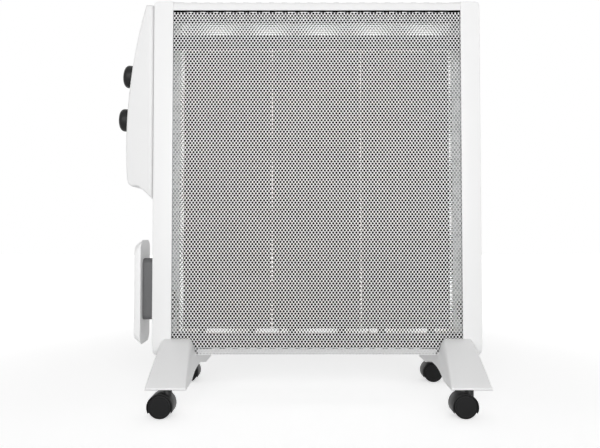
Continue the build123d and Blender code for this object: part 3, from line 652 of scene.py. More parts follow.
@dataclass
class Casing:
    """The two side pillars and the slotted top grille.

    Attributes:
        wall: Wall of the pillars.
        top_radius: Radius of a pillar's outer top corner.
        bottom_radius: Radius of a pillar's outer bottom corner.
        edge_radius: Radius of a pillar's front and rear edges.
        cover_wall: Wall of the top grille.
        cover_radius: Radius of the top grille's shoulders.
        slot_pitch: Distance between slots.
        slot_width: Width of a slot.
        slot_count: Number of slots.
        slot_shoulder: Metal left beside the slots' ends.
        steepest_sine: Largest sine of the angle at which a slot may end on the shoulders.
        lip_depth: Depth below the crest down to which the slots' lips are rounded.
        lip_radius: Radius of the slots' lips.
    """

    wall: float = 2.5 * MM
    top_radius: float = 6.0 * MM
    bottom_radius: float = 9.0 * MM
    edge_radius: float = 1.6 * MM
    cover_wall: float = 2.0 * MM
    cover_radius: float = 6.0 * MM
    slot_pitch: float = 20.88 * MM
    slot_width: float = 12.4 * MM
    slot_count: int = 21
    slot_shoulder: float = 1.2 * MM
    steepest_sine: float = 0.97
    lip_depth: float = 1.2 * MM
    lip_radius: float = 0.35 * MM

    def build(self) -> None:
        """Builds and dresses the casing."""
        for side in ("left", "right"):
            self.pillar(side)
        self.top_grille()

    def pillar(self, side: str) -> None:
        """Makes one pillar, a moulding that is open towards the middle.

        Args:
            side: "left" or "right".
        """
        low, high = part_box(f"{side}_pillar")
        outer, inner = (low.x, high.x) if side == "left" else (high.x, low.x)
        corners = [(inner, low.z), (outer, low.z), (outer, high.z), (inner, high.z)]
        bm = bmesh.new()
        flat_outline(bm, [(x, low.y, z) for x, z in corners])
        ends = ((low.z, self.bottom_radius, 8), (high.z, self.top_radius, 6))
        for height, radius, segments in ends:
            corner = [v for v in bm.verts if near(v.co.x, outer) and near(v.co.z, height)]
            round_off(bm, corner, radius, segments, "VERTICES")
        pull(bm, bm.faces, Vector((0, high.y - low.y, 0)))
        bmesh.ops.recalc_face_normals(bm, faces=bm.faces)
        rims = [
            edge
            for edge in bm.edges
            if near(edge.verts[0].co.y, edge.verts[1].co.y)
            and not all(near(v.co.x, inner) for v in edge.verts)
        ]
        round_off(bm, rims, self.edge_radius, 3)
        mouth = max(
            (f for f in bm.faces if all(near(v.co.x, inner) for v in f.verts)),
            key=lambda f: f.calc_area(),
        )
        bmesh.ops.inset_individual(bm, faces=[mouth], thickness=self.wall, depth=0.0)
        reach = outer + math.copysign(self.wall, inner - outer) - inner
        made = bmesh.ops.extrude_discrete_faces(bm, faces=[mouth])["faces"]
        bmesh.ops.translate(bm, verts=list(made[0].verts), vec=Vector((reach, 0, 0)))
        draw_in(bm, 2, low.z + PILLAR_END_RUN, -PILLAR_END_RUN, PILLAR_END_DROP, high.y)
        deliver(bm, f"{side}_pillar_shell", WHITE_PLASTIC, replaces=[f"{side}_pillar"])

    def top_grille(self) -> None:
        """Makes the slotted cover between the pillars."""
        low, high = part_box("top_grille")
        slot_half = high.y - self.slot_shoulder
        outer = self._cover_line(high.y, high.z, low.z, self.cover_radius)
        inner = self._cover_line(
            high.y - self.cover_wall,
            high.z - self.cover_wall,
            low.z,
            self.cover_radius - self.cover_wall,
        )
        bm = bmesh.new()
        faces = [flat_outline(bm, [(low.x, y, z) for y, z in outer + inner[::-1]])]
        half = self.slot_width / 2
        steps = [step - (self.slot_count - 1) / 2 for step in range(self.slot_count)]
        centres = [MIDDLE_X + self.slot_pitch * step for step in steps]
        stations = [low.x, *(centre + side for centre in centres for side in (-half, half)), high.x]
        for before, station in zip(stations, stations[1:]):
            faces = pull(bm, faces, Vector((station - before, 0, 0)))
        bmesh.ops.remove_doubles(bm, verts=bm.verts, dist=CUT)
        partitions = [
            face
            for face in bm.faces
            if all(near(v.co.x, face.verts[0].co.x) for v in face.verts)
            and low.x + MM < face.verts[0].co.x < high.x - MM
        ]
        bmesh.ops.delete(bm, geom=partitions, context="FACES_ONLY")
        for centre in centres:
            self._cut_slot(bm, centre, slot_half, high.z)
        bmesh.ops.recalc_face_normals(bm, faces=bm.faces)
        lowest, widest = high.z - self.lip_depth, slot_half + CLOSE
        lips = sharp_edges(bm, 60.0, lambda co: co.z > lowest and abs(co.y) < widest)
        round_off(bm, lips, self.lip_radius, 2)
        deliver(bm, "top_grille_cover", WHITE_PAINT, replaces=["top_grille"])

    def _cover_line(self, half: float, top: float, bottom: float, radius: float) -> list[Point]:
        """Round-shouldered line over the top, with a point at the slots' ends.

        Args:
            half: Half depth of the line.
            top: Height of its crest.
            bottom: Height of its two feet.
            radius: Radius of its shoulders.

        Returns:
            Points of Y and Z, from the front foot over the top to the rear foot.
        """
        slot_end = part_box("top_grille")[1].y - self.slot_shoulder
        at_slot = math.asin(min(self.steepest_sine, (slot_end - (half - radius)) / radius))
        rest = math.pi / 2 - at_slot
        angles = [0.0, at_slot / 2, *(at_slot + rest * step / 3 for step in range(4))]
        rear = [
            (half - radius + radius * math.sin(a), top - radius + radius * math.cos(a))
            for a in angles
        ]
        rear.append((half, bottom))
        return [(-y, z) for y, z in reversed(rear)] + rear

    def _cut_slot(self, bm: BMesh, centre: float, slot_half: float, top: float) -> None:
        """Opens one slot through the cover's wall.

        Args:
            bm: The cover.
            centre: X of the slot's middle.
            slot_half: Half length of the slot.
            top: Height of the cover's crest.
        """
        gone = []
        for face in bm.faces:
            x, y, z = face.calc_center_median()
            inside = abs(x - centre) < self.slot_width / 4 and abs(y) < slot_half
            if inside and z > top - self.cover_radius:
                gone.append(face)
        rims = {edge for face in gone for edge in face.edges}
        bmesh.ops.delete(bm, geom=gone, context="FACES")
        rims = [edge for edge in rims if edge.is_valid and edge.is_boundary]
        bmesh.ops.bridge_loops(bm, edges=rims)


@dataclass
class Grille:
    """The two flat sheets with staggered round holes, at the front and at the rear.

    Attributes:
        pitch: Distance between holes along a row.
        row: Distance between rows.
        hole_radii: Radii of the holes in the front and the rear sheet.
        hole_sides: Number of straight sides of a hole.
        anchor: Place of one hole of the front sheet, with X counted from the middle.
        rear_offset: Place of the rear sheet's holes against those of the front sheet.
        top_edge: Height of the front sheet's upper edge below the top grille's lower edge.
        strips: Number of pieces that each sheet is cut into along X.
    """

    pitch: float = 5.27 * MM
    row: float = 3.684 * MM
    hole_radii: Point = (2.02 * MM, 1.6 * MM)
    hole_sides: int = 8
    anchor: Point = (-0.33 * MM, 216.35 * MM)
    rear_offset: Point = (1.98 * MM, -2.44 * MM)
    top_edge: float = 3.2 * MM
    strips: int = 3

    def build(self) -> None:
        """Builds and dresses both sheets in strips that share their hole lines."""
        # The holes reach a little past the sheets on all sides and are trimmed there.
        low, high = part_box("front_grille")
        columns = math.ceil((high.x - low.x) / self.pitch) + 2
        per_strip = math.ceil(columns / self.strips)
        pairs = math.ceil((high.z - low.z) / self.row / 2) + 3
        pairs_below = math.ceil((self.anchor[1] - low.z) / self.row / 2) + 1
        offsets = ((0.0, 0.0), self.rear_offset)
        for node, offset, radius in zip(("front_grille", "rear_grille"), offsets, self.hole_radii):
            low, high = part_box(node)
            if node == "front_grille":
                high.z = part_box("top_grille")[0].z - self.top_edge
            patch = self._patch(high.y - low.y, radius, per_strip, pairs)
            first_x = MIDDLE_X + self.anchor[0] + offset[0] - self.pitch * (columns // 2)
            first_z = self.anchor[1] + offset[1] - 2 * self.row * pairs_below
            for strip in range(self.strips):
                bm = bmesh.new()
                bm.from_mesh(patch)
                place = Vector((first_x + strip * per_strip * self.pitch, low.y, first_z))
                bmesh.ops.translate(bm, verts=bm.verts, vec=place)
                self._trim(bm, low, high)
                name = f"{node}_mesh_{strip + 1}"
                deliver(bm, name, GRILLE_PAINT_AND_SHADE, replaces=[node], smooth_degrees=0.0)
            bpy.data.meshes.remove(patch)

    def _patch(self, thickness: float, radius: float, columns: int, pairs: int) -> bpy.types.Mesh:
        """Makes a patch of holes from one diamond-shaped cell.

        Args:
            thickness: Thickness of the sheet.
            radius: Radius of a hole.
            columns: Holes along X.
            pairs: Pairs of rows along Z.

        Returns:
            The patch, open at its borders, with its first hole at the origin.
        """
        bm = bmesh.new()
        upright = Matrix.Rotation(math.pi / 2, 4, "X")
        bmesh.ops.create_circle(bm, segments=self.hole_sides, radius=radius, matrix=upright)
        rim = list(bm.edges)
        stretch = Matrix.Diagonal((self.pitch / 2, self.row, 1.0, 1.0))
        bmesh.ops.create_circle(bm, segments=4, radius=1.0, matrix=upright @ stretch)
        bmesh.ops.triangle_fill(bm, edges=list(bm.edges), use_beauty=True)
        through = Vector((0, thickness, 0))
        self._copy(bm, through)
        wall = bmesh.ops.extrude_edge_only(bm, edges=rim)["geom"]
        bmesh.ops.translate(bm, verts=of_kind(wall, BMVert), vec=through)
        self._repeat(bm, columns, Vector((self.pitch, 0, 0)))
        self._copy(bm, Vector((self.pitch / 2, 0, self.row)))
        self._repeat(bm, pairs, Vector((0, 0, 2 * self.row)))
        bmesh.ops.remove_doubles(bm, verts=bm.verts, dist=CLOSE)
        patch = bpy.data.meshes.new("grille_patch")
        bm.to_mesh(patch)
        bm.free()
        return patch

    def _copy(self, bm: BMesh, shift: Vector) -> None:
        """Adds a shifted copy of all that a bmesh holds."""
        made = bmesh.ops.duplicate(bm, geom=whole(bm))["geom"]
        bmesh.ops.translate(bm, verts=of_kind(made, BMVert), vec=shift)

    def _repeat(self, bm: BMesh, count: int, step: Vector) -> None:
        """Repeats all of a bmesh along a line.

        Args:
            bm: The bmesh.
            count: Number of copies in all.
            step: Shift from one copy to the next.
        """
        bmesh.ops.spin(
            bm,
            geom=whole(bm),
            cent=(0, 0, 0),
            axis=(0, 0, 1),
            dvec=step,
            angle=0.0,
            steps=count - 1,
            use_duplicate=True,
        )

    def _trim(self, bm: BMesh, low: Vector, high: Vector) -> None:
        """Cuts the patch to the sheet's outline and closes the cut edges.

        Args:
            bm: The patch.
            low: Lowest corner of the sheet.
            high: Highest corner of the sheet.
        """
        for axis in (Vector((1, 0, 0)), Vector((0, 0, 1))):
            for corner, outwards in ((low, -axis), (high, axis)):
                reach = corner.dot(outwards) - 2 * self.pitch
                close = [v for v in bm.verts if v.co.dot(outwards) > reach]
                cut_off(bm, close, corner, outwards)


@dataclass(frozen=True)
class Dial:
    """One dial and the marks round it.

    Attributes:
        name: First word of its CAD nodes' names.
        height: Height of its axis.
        first: Degrees of its first mark to the left of upright, seen from outside.
        step: Degrees from one mark to the next.
        count: Number of marks.
    """

    name: str
    height: float
    first: float
    step: float
    count: int


@dataclass
class ControlBox:
    """The curved box on the left pillar with its dials and their marks.

    Attributes:
        arc_radius: Radius of the outer face.
        arc_height: Height at which the outer face stands out furthest.
        reach: Distance of the outer face from the body's middle at that height.
        top_drop: Distance of the flat top below the top of the CAD box.
        bottom: Height of the flat underside.
        corner_rise: Height of the outer bottom corner's bend.
        corner_run: Distance of the bend's lower end from the furthest point.
        flat: Length of the flat part of the underside.
        tail_radius: Radius of the hollow under the box.
        edge_radius: Radius of the front and rear edges.
        groove: Width and depth of the groove beside the pillar.
        dials: The two dials.
        knob_radius: Radius of a dial.
        knob_gap: Gap below a dial.
        knob_height: Height of a dial.
        knob_edge: Radius of a dial's outer edge.
        knob_wall: Wall of a dial.
        knob_roof: Thickness of a dial's face.
        knob_bend: Run of the slant between its face and its wall, on the inside.
        knob_chamfer: Chamfer of its lower edge.
        pointer_size: Width, length and thickness of a pointer.
        pointer_radius: Radius of its corners.
        pointer_proud: Height of its top above the dial.
        mark_gap: Gap between a dial and its marks.
        mark_size: Width, length and height of a mark.
    """

    arc_radius: float = 871.0 * MM
    arc_height: float = 408.0 * MM
    reach: float = 307.2 * MM
    top_drop: float = 1.5 * MM
    bottom: float = 342.4 * MM
    corner_rise: float = 12.0 * MM
    corner_run: float = 9.0 * MM
    flat: float = 9.6 * MM
    tail_radius: float = 100.0 * MM
    edge_radius: float = 5.0 * MM
    groove: Point = (4.5 * MM, 9.0 * MM)
    dials: tuple[Dial, Dial] = (
        Dial("thermostat", 524.9 * MM, 135.0, 27.0, 11),
        Dial("power", 453.3 * MM, 45.0, 45.0, 3),
    )
    knob_radius: float = 18.5 * MM
    knob_gap: float = 1.0 * MM
    knob_height: float = 16.5 * MM
    knob_edge: float = 6.5 * MM
    knob_wall: float = 2.4 * MM
    knob_roof: float = 2.6 * MM
    knob_bend: float = 1.5 * MM
    knob_chamfer: float = 0.4 * MM
    pointer_size: Triple = (1.6 * MM, 9.0 * MM, 0.9 * MM)
    pointer_radius: float = 0.7 * MM
    pointer_proud: float = 0.02 * MM
    mark_gap: float = 0.9 * MM
    mark_size: Triple = (1.0 * MM, 2.4 * MM, 0.15 * MM)

    def build(self) -> None:
        """Builds and dresses the box, its dials and its marks."""
        self.shell()
        for dial in self.dials:
            self.knob(dial)
            self.pointer(dial)
            self.marks(dial)

    def stand_out(self, height: float) -> float:
        """Returns the distance of the outer face from the body's middle at a height."""
        rise = height - self.arc_height
        return self.reach - self.arc_radius + math.sqrt(self.arc_radius**2 - rise**2)

    def face_matrix(self, height: float) -> Matrix:
        """Place on the outer face whose Z points outwards and whose Y points up.

        Args:
            height: Height of the place.

        Returns:
            The matrix of the place.
        """
        tilt = math.asin((height - self.arc_height) / self.arc_radius)
        outward = Vector((-math.cos(tilt), 0, math.sin(tilt)))
        right = Vector((0, -1, 0))
        turn = Matrix((right, outward.cross(right), outward)).transposed().to_4x4()
        return Matrix.Translation((MIDDLE_X - self.stand_out(height), 0, height)) @ turn

    def shell(self) -> None:
        """Makes the box's curved shell."""
        low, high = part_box("control_box")
        rim = high.x
        furthest = MIDDLE_X - self.reach
        box_top = high.z - self.top_drop
        bend_start = self.bottom + self.corner_rise
        tail = Vector((rim, low.y, low.z))
        bend = Vector((MIDDLE_X - self.stand_out(bend_start), low.y, bend_start))
        corner = Vector((furthest + self.corner_run, low.y, self.bottom))
        flat_end = corner + Vector((self.flat, 0, 0))
        back_top = Vector((rim, low.y, box_top))
        face_top = Vector((MIDDLE_X - self.stand_out(box_top), low.y, box_top))
        bm = bmesh.new()
        outline = flat_outline(bm, [tail, back_top, face_top, bend, corner, flat_end])
        _, _, face_line, bend_line, _, hollow_line = list(outline.edges)
        face_centre = Vector((furthest + self.arc_radius, low.y, self.arc_height))
        inwards = (face_centre - bend).normalized()
        chord = corner - bend
        bend_radius = chord.length_squared / 2 / chord.dot(inwards)
        hollow = tail - flat_end
        below = Vector((hollow.z, 0, -hollow.x)).normalized()
        drop = math.sqrt(self.tail_radius**2 - hollow.length_squared / 4)
        bow_edge(bm, face_line, face_centre, steps=24)
        bow_edge(bm, bend_line, bend + inwards * bend_radius, steps=8)
        bow_edge(bm, hollow_line, (tail + flat_end) / 2 + below * drop, steps=10)
        pull(bm, bm.faces, Vector((0, high.y - low.y, 0)))
        bmesh.ops.recalc_face_normals(bm, faces=bm.faces)
        rims = [
            edge
            for edge in bm.edges
            if near(edge.verts[0].co.y, edge.verts[1].co.y)
            and not all(near(v.co.x, rim) for v in edge.verts)
        ]
        round_off(bm, rims, self.edge_radius, 5)
        width, depth = self.groove
        draw_in(bm, 0, rim - width, width, depth, high.y)
        deliver(bm, "control_box_shell", SHADED_BOX_PLASTIC, replaces=["control_box"])

    def marks(self, dial: Dial) -> None:
        """Makes the plain marks that a dial's pointer is set against.

        Args:
            dial: The dial.
        """
        bm = bmesh.new()
        width, length, height = self.mark_size
        ring = self.knob_radius + self.mark_gap + length / 2
        for index in range(dial.count):
            turn = Matrix.Rotation(math.radians(dial.first - dial.step * index), 4, "Z")
            across, up, _ = turn @ Vector((0, ring, 0))
            place = self.face_matrix(dial.height + up) @ Matrix.Translation((across, 0, 0))
            add_block(bm, place @ turn, (width, length, 2 * height))
        deliver(bm, f"{dial.name}_marks", GREY_PRINT)

    def knob(self, dial: Dial) -> None:
        """Makes one dial with a domed edge and a hollow underside.

        Args:
            dial: The dial.
        """
        top = self.knob_gap + self.knob_height
        face = self.knob_radius - self.knob_edge
        inside = self.knob_radius - self.knob_wall
        profile = [
            (0.0, top - self.knob_roof),
            (face - self.knob_bend, top - self.knob_roof),
            (inside, top - self.knob_edge),
            (inside, self.knob_gap),
            (self.knob_radius - self.knob_chamfer, self.knob_gap),
            (self.knob_radius, self.knob_gap + self.knob_chamfer),
            *arc_points((face, top - self.knob_edge), self.knob_edge, 0, 90, steps=10),
            (0.0, top),
        ]
        bm = turned(profile, steps=72, place=self.face_matrix(dial.height))
        name = f"{dial.name}_dial"
        deliver(bm, name, BLACK_PLASTIC, name, [f"{dial.name}_knob"], smooth_degrees=50.0)

    def pointer(self, dial: Dial) -> None:
        """Makes the white pointer that is inlaid in a dial's face.

        Args:
            dial: The dial.
        """
        _, length, thick = self.pointer_size
        middle = self.knob_radius - self.knob_edge - length / 2
        height = self.knob_gap + self.knob_height + self.pointer_proud - thick / 2
        bm = bmesh.new()
        add_block(bm, Matrix.Translation((0, middle, height)), self.pointer_size)
        upright = [e for e in bm.edges if not near(e.verts[0].co.z, e.verts[1].co.z)]
        round_off(bm, upright, self.pointer_radius, 4)
        turn = Matrix.Rotation(math.radians(dial.first), 4, "Z")
        bmesh.ops.transform(bm, matrix=self.face_matrix(dial.height) @ turn, verts=bm.verts)
        deliver(bm, f"{dial.name}_pointer", WHITE_PRINT, f"{dial.name}_dial")


@dataclass
class CordWinder:
    """The dark post and the bevelled flange that the cord is wound between.

    Attributes:
        bevel: Height of the slanted parts at the flange's ends.
        corner_radius: Radius of the flange's corners.
        edge_radius: Radius of its edges.
        post_radius: Radius of the post's corners.
    """

    bevel: float = 9.0 * MM
    corner_radius: float = 14.0 * MM
    edge_radius: float = 1.2 * MM
    post_radius: float = 9.0 * MM

    def build(self) -> None:
        """Builds and dresses the flange, slanted at its top and bottom, and the plain post."""
        bm, face = self._plate("winder_flange", self.corner_radius, 6)
        low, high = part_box("winder_flange")
        middle = (low.z + high.z) / 2
        squeeze = 1 - 2 * self.bevel / (high.z - low.z)
        for vert in face.verts:
            vert.co.z = middle + (vert.co.z - middle) * squeeze
        bmesh.ops.recalc_face_normals(bm, faces=bm.faces)
        round_off(bm, sharp_edges(bm, 30.0), self.edge_radius, 3)
        deliver(bm, "winder_flange_plate", WHITE_PLASTIC, replaces=["winder_flange"])
        bm, _ = self._plate("winder_post", self.post_radius, 10)
        deliver(bm, "winder_post_block", GREY_PLASTIC, replaces=["winder_post"])

    def _plate(self, node: str, radius: float, segments: int) -> tuple[BMesh, BMFace]:
        """Makes a block of a CAD node's size with its four long corners rounded.

        Args:
            node: The CAD node.
            radius: Radius of the corners.
            segments: Straight runs in each corner.

        Returns:
            The bmesh and its outer face.
        """
        low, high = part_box(node)
        corners = ((low.y, low.z), (high.y, low.z), (high.y, high.z), (low.y, high.z))
        bm = bmesh.new()
        flat_outline(bm, [(high.x, y, z) for y, z in corners])
        round_off(bm, bm.verts, radius, segments, "VERTICES")
        return bm, pull(bm, bm.faces, Vector((low.x - high.x, 0, 0)))[0]


@dataclass
class Foot:
    """A foot with a horn in front and behind, and an arch between its toes.

    Attributes:
        toe_width: Width of the toe.
        toe_front: Height of the toe's front edge.
        toe_gain: Extra width of the toe on the inner side.
        toe_shoulder: Run and drop of the toe's top corners.
        horn_shoulder: Run and drop of the horn's top corners.
        middle_share: Place of the middle section between horn and toe.
        middle_bulge: Height of the middle section above a straight line.
        arch_span: Length of the arch.
        arch_rise: Height of the arch.
        body_gap: Gap between the body and the foot.
        pad_sunk: How far the tray's pad reaches into the foot.
        edge_radius: Radius of the toe's edges.
        cradle_degrees: Angles of the sections along the cradle for the pillar's end.
        arch_shares: Places of the sections along half of the arch, apart from the cradle.
        toe_sections: Number of sections from the arch's end to the toe's front.
    """

    toe_width: float = 60.0 * MM
    toe_front: float = 2.8 * MM
    toe_gain: float = 2.0 * MM
    toe_shoulder: Point = (2.0 * MM, 3.0 * MM)
    horn_shoulder: Point = (10.0 * MM, 32.0 * MM)
    middle_share: float = 0.52
    middle_bulge: float = 3.0 * MM
    arch_span: float = 132.0 * MM
    arch_rise: float = 11.5 * MM
    body_gap: float = 0.2 * MM
    pad_sunk: float = 2.0 * MM
    edge_radius: float = 1.0 * MM
    cradle_degrees: tuple[int, ...] = (90, 70, 50, 30, 15, 0)
    arch_shares: Triple = (0.16, 0.68, 0.85)
    toe_sections: int = 5

    def build(self) -> None:
        """Builds and dresses both feet."""
        for side in ("left", "right"):
            self.foot(side)

    def foot(self, side: str) -> None:
        """Makes one foot from sections that are bridged along Y.

        Args:
            side: "left" or "right".
        """
        bm = bmesh.new()
        loops = [self._section(bm, y, cap) for y, cap in self._stations()]
        for one, other in zip(loops, loops[1:]):
            self._bridge(bm, one, other)
        bm.faces.new(loops[-1])
        middle = Matrix.Identity(4)
        bmesh.ops.mirror(bm, geom=whole(bm), matrix=middle, merge_dist=CLOSE, axis="Y")
        bmesh.ops.remove_doubles(bm, verts=bm.verts, dist=CLOSE)
        bmesh.ops.dissolve_degenerate(bm, edges=bm.edges, dist=CLOSE)
        bmesh.ops.recalc_face_normals(bm, faces=bm.faces)
        round_off(bm, sharp_edges(bm, 38.0), self.edge_radius, 2)
        self._add_pad(bm)
        if side == "right":
            flip = Matrix.Scale(-1, 4, Vector((1, 0, 0)))
            across = Matrix.Translation((2 * MIDDLE_X, 0, 0)) @ flip
            bmesh.ops.transform(bm, matrix=across, verts=bm.verts)
        name = f"{side}_foot_moulding"
        deliver(bm, name, WHITE_PLASTIC, replaces=[f"{side}_foot"], smooth_degrees=32.0)

    def _stations(self) -> list[Point]:
        """Places the sections of the left foot.

        Returns:
            Each section's distance from the middle plane and its greatest height.
        """
        pillar_low, pillar_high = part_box("left_pillar")
        _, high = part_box("left_foot")
        back = pillar_high.y + self.body_gap
        half = self.arch_span / 2
        first, *others = [half * share for share in self.arch_shares]
        stations = [(0.0, pillar_low.z), (first, pillar_low.z)]
        for angle in map(math.radians, self.cradle_degrees):
            y = back - PILLAR_END_DROP * (1 - math.cos(angle))
            stations.append((y, pillar_low.z + PILLAR_END_RUN * (1 - math.sin(angle))))
        shares = [step / self.toe_sections for step in range(self.toe_sections + 1)]
        toes = [half + (high.y - half) * share for share in shares]
        return stations + [(y, high.z) for y in (back, *others, *toes)]

    def _add_pad(self, bm: BMesh) -> None:
        """Adds the low pad that the bottom tray is screwed to.

        Args:
            bm: The left foot.
        """
        pillar_low, pillar_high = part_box("left_pillar")
        tray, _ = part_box("bottom_tray")
        outer = pillar_high.x + self.body_gap
        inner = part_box("left_foot")[0].x + self.toe_width - self.toe_gain
        height = tray.z - pillar_low.z + self.pad_sunk
        place = Matrix.Translation(((outer + inner) / 2, 0, tray.z - height / 2))
        add_block(bm, place, (inner - outer, 2 * abs(tray.y), height))

    def _blend(self, values: Triple, share: float) -> float:
        """Curve through three values, at the start, at the middle share and at the end.

        Args:
            values: The three values.
            share: Place between 0 and 1.

        Returns:
            The value there.
        """
        m = self.middle_share
        start, middle, end = values
        first = start * (share - m) * (share - 1) / m
        second = middle * share * (share - 1) / (m * (m - 1))
        return first + second + end * share * (share - m) / (1 - m)

    def _section(self, bm: BMesh, y: float, cap: float) -> list[BMVert]:
        """Adds one section across the left foot.

        Args:
            bm: The bmesh to add to.
            y: Distance of the section from the middle plane.
            cap: Height above which the section is cut off.

        Returns:
            The section's vertices in order.
        """
        low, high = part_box("left_foot")
        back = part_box("left_pillar")[1].y + self.body_gap
        share = max(0.0, (y - back) / (high.y - back))
        toe_top = low.z + self.toe_front
        mid_top = high.z + (toe_top - high.z) * self.middle_share + self.middle_bulge
        top = self._blend((high.z, mid_top, toe_top), share)
        outer = low.x
        inner = low.x + self.toe_width + self.toe_gain * (share - 1)
        across, down = (
            horn + (toe - horn) * share for horn, toe in zip(self.horn_shoulder, self.toe_shoulder)
        )
        half = self.arch_span / 2
        radius = (half**2 + self.arch_rise**2) / 2 / self.arch_rise
        base = low.z
        if y < half:
            base += self.arch_rise - (radius - math.sqrt(radius**2 - y**2))
        quarter = [math.radians(degrees) for degrees in range(0, 91, 15)]
        shoulder = [(across * (1 - math.cos(a)), top - down * (1 - math.sin(a))) for a in quarter]
        line = [(outer, base), *((outer + run, z) for run, z in shoulder)]
        line += [*((inner - run, z) for run, z in reversed(shoulder)), (inner, base)]
        return [bm.verts.new((x, y, min(z, cap))) for x, z in line]

    def _bridge(self, bm: BMesh, one: list[BMVert], other: list[BMVert]) -> None:
        """Joins two neighbouring sections with faces all round.

        Args:
            bm: The bmesh.
            one: Vertices of one section.
            other: Vertices of the next section.
        """
        rings = []
        for loop in (one, other):
            for pair in zip(loop, loop[1:] + loop[:1]):
                rings.append(bm.edges.get(pair) or bm.edges.new(pair))
        bmesh.ops.bridge_loops(bm, edges=rings)


@dataclass
class Castor:
    """A hooded twin-wheel castor.

    Attributes:
        corner: First words of its CAD nodes' names.
        trail: Distance of the axle behind the stem.
        wheel_radius: Radius of a wheel.
        hood_gap: Gap between a wheel and the hood.
        hood_wall: Wall of the hood.
        hood_edge: Radius of the hood's edges.
        web: Thickness of the middle web.
        web_inset: How far the web's rim lies below the hood's outside.
        width: Width over both wheels.
        wheel_width: Width of a wheel.
        bore: Radius of a wheel's bore.
        wheel_back: Depths below the tread and from the inner face, on a wheel's inner side.
        wheel_face: Depths below the tread and from the outer face, on its outer side.
        tread_radii: Radii of the tread's inner and outer edge.
        tip_height: Height of the hood's lower tips.
        neck_radius: Radius of the neck.
        neck_height: Height of the neck, most of which is inside the hood.
        neck_steps: Depths inside the neck's side and below its top, at its shoulder.
    """

    corner: str
    trail: float = 8.5 * MM
    wheel_radius: float = 17.0 * MM
    hood_gap: float = 0.7 * MM
    hood_wall: float = 1.3 * MM
    hood_edge: float = 0.35 * MM
    web: float = 9.6 * MM
    web_inset: float = 0.4 * MM
    width: float = 28.0 * MM
    wheel_width: float = 8.7 * MM
    bore: float = 2.05 * MM
    wheel_back: tuple[Point, ...] = ((5.0 * MM, 0.0), (4.4 * MM, 0.6 * MM), (1.2 * MM, 0.6 * MM))
    wheel_face: tuple[Point, ...] = (
        (2.3 * MM, 0.0),
        (2.5 * MM, 0.5 * MM),
        (3.1 * MM, 0.5 * MM),
        (3.4 * MM, 0.1 * MM),
        (9.0 * MM, 0.0),
    )
    tread_radii: Point = (1.0 * MM, 1.4 * MM)
    tip_height: float = 8.2 * MM
    neck_radius: float = 6.5 * MM
    neck_height: float = 14.0 * MM
    neck_steps: tuple[Point, ...] = ((0.0, 1.2 * MM), (0.5 * MM, 0.4 * MM), (1.2 * MM, 0.0))

    def build(self) -> None:
        """Builds and dresses the hood, the wheels and their metal pins."""
        self.hood()
        self.wheel("front", Matrix.Identity(4))
        self.wheel("rear", Matrix.Rotation(math.pi, 4, "X"))
        for part in ("stem", "axle"):
            dress_cad(f"{self.corner}_castor_{part}", BRIGHT_STEEL)

    def stem_centre(self) -> Vector:
        """Returns the middle of the castor's stem, on the floor."""
        low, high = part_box(f"{self.corner}_castor_stem")
        return Vector(((low.x + high.x) / 2, (low.y + high.y) / 2, 0))

    def axle_matrix(self) -> Matrix:
        """Returns the place of the axle's middle, whose Z points to the front."""
        centre = self.stem_centre() + Vector((-self.trail, 0, self.wheel_radius))
        return Matrix.Translation(centre) @ Matrix.Rotation(math.pi / 2, 4, "X")

    def hood(self) -> None:
        """Makes the hood: a curved canopy, the web between the wheels and the neck."""
        inner = self.wheel_radius + self.hood_gap
        outer = inner + self.hood_wall
        half = self.width / 2
        tip = math.asin((self.wheel_radius - self.tip_height) / outer)
        bm = bmesh.new()
        flat_outline(bm, [(inner, 0, -half), (outer, 0, -half), (outer, 0, half), (inner, 0, half)])
        bmesh.ops.transform(bm, matrix=Matrix.Rotation(-tip, 4, "Z"), verts=bm.verts)
        bmesh.ops.spin(
            bm,
            geom=whole(bm),
            cent=(0, 0, 0),
            axis=(0, 0, 1),
            angle=math.pi + 2 * tip,
            steps=44,
        )
        bmesh.ops.recalc_face_normals(bm, faces=bm.faces)
        round_off(bm, sharp_edges(bm, 45.0), self.hood_edge, 2)
        web = bmesh.ops.create_cone(
            bm,
            cap_ends=True,
            segments=64,
            radius1=outer - self.web_inset,
            radius2=outer - self.web_inset,
            depth=self.web,
        )["verts"]
        cut_off(bm, web, Vector((0, -math.sin(tip) * outer, 0)), Vector((0, -1, 0)))
        bmesh.ops.transform(bm, matrix=self.axle_matrix(), verts=bm.verts)
        self._add_neck(bm)
        name, body = f"{self.corner}_hood", f"{self.corner}_swivel"
        nodes = [f"{self.corner}_castor_hood"]
        deliver(bm, name, BLACK_PLASTIC, body, nodes, smooth_degrees=35.0)

    def _add_neck(self, bm: BMesh) -> None:
        """Adds the round neck that the stem enters, with a small shoulder.

        Args:
            bm: The hood, in the row's frame.
        """
        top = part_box(f"{self.corner}_castor_hood")[1].z
        profile = [
            (0.0, top - self.neck_height),
            (self.neck_radius, top - self.neck_height),
            *((self.neck_radius - across, top - down) for across, down in self.neck_steps),
            (0.0, top),
        ]
        neck = turned(profile, steps=40, place=Matrix.Translation(self.stem_centre()))
        scratch = bpy.data.meshes.new("neck_scratch")
        neck.to_mesh(scratch)
        neck.free()
        bm.from_mesh(scratch)
        bpy.data.meshes.remove(scratch)

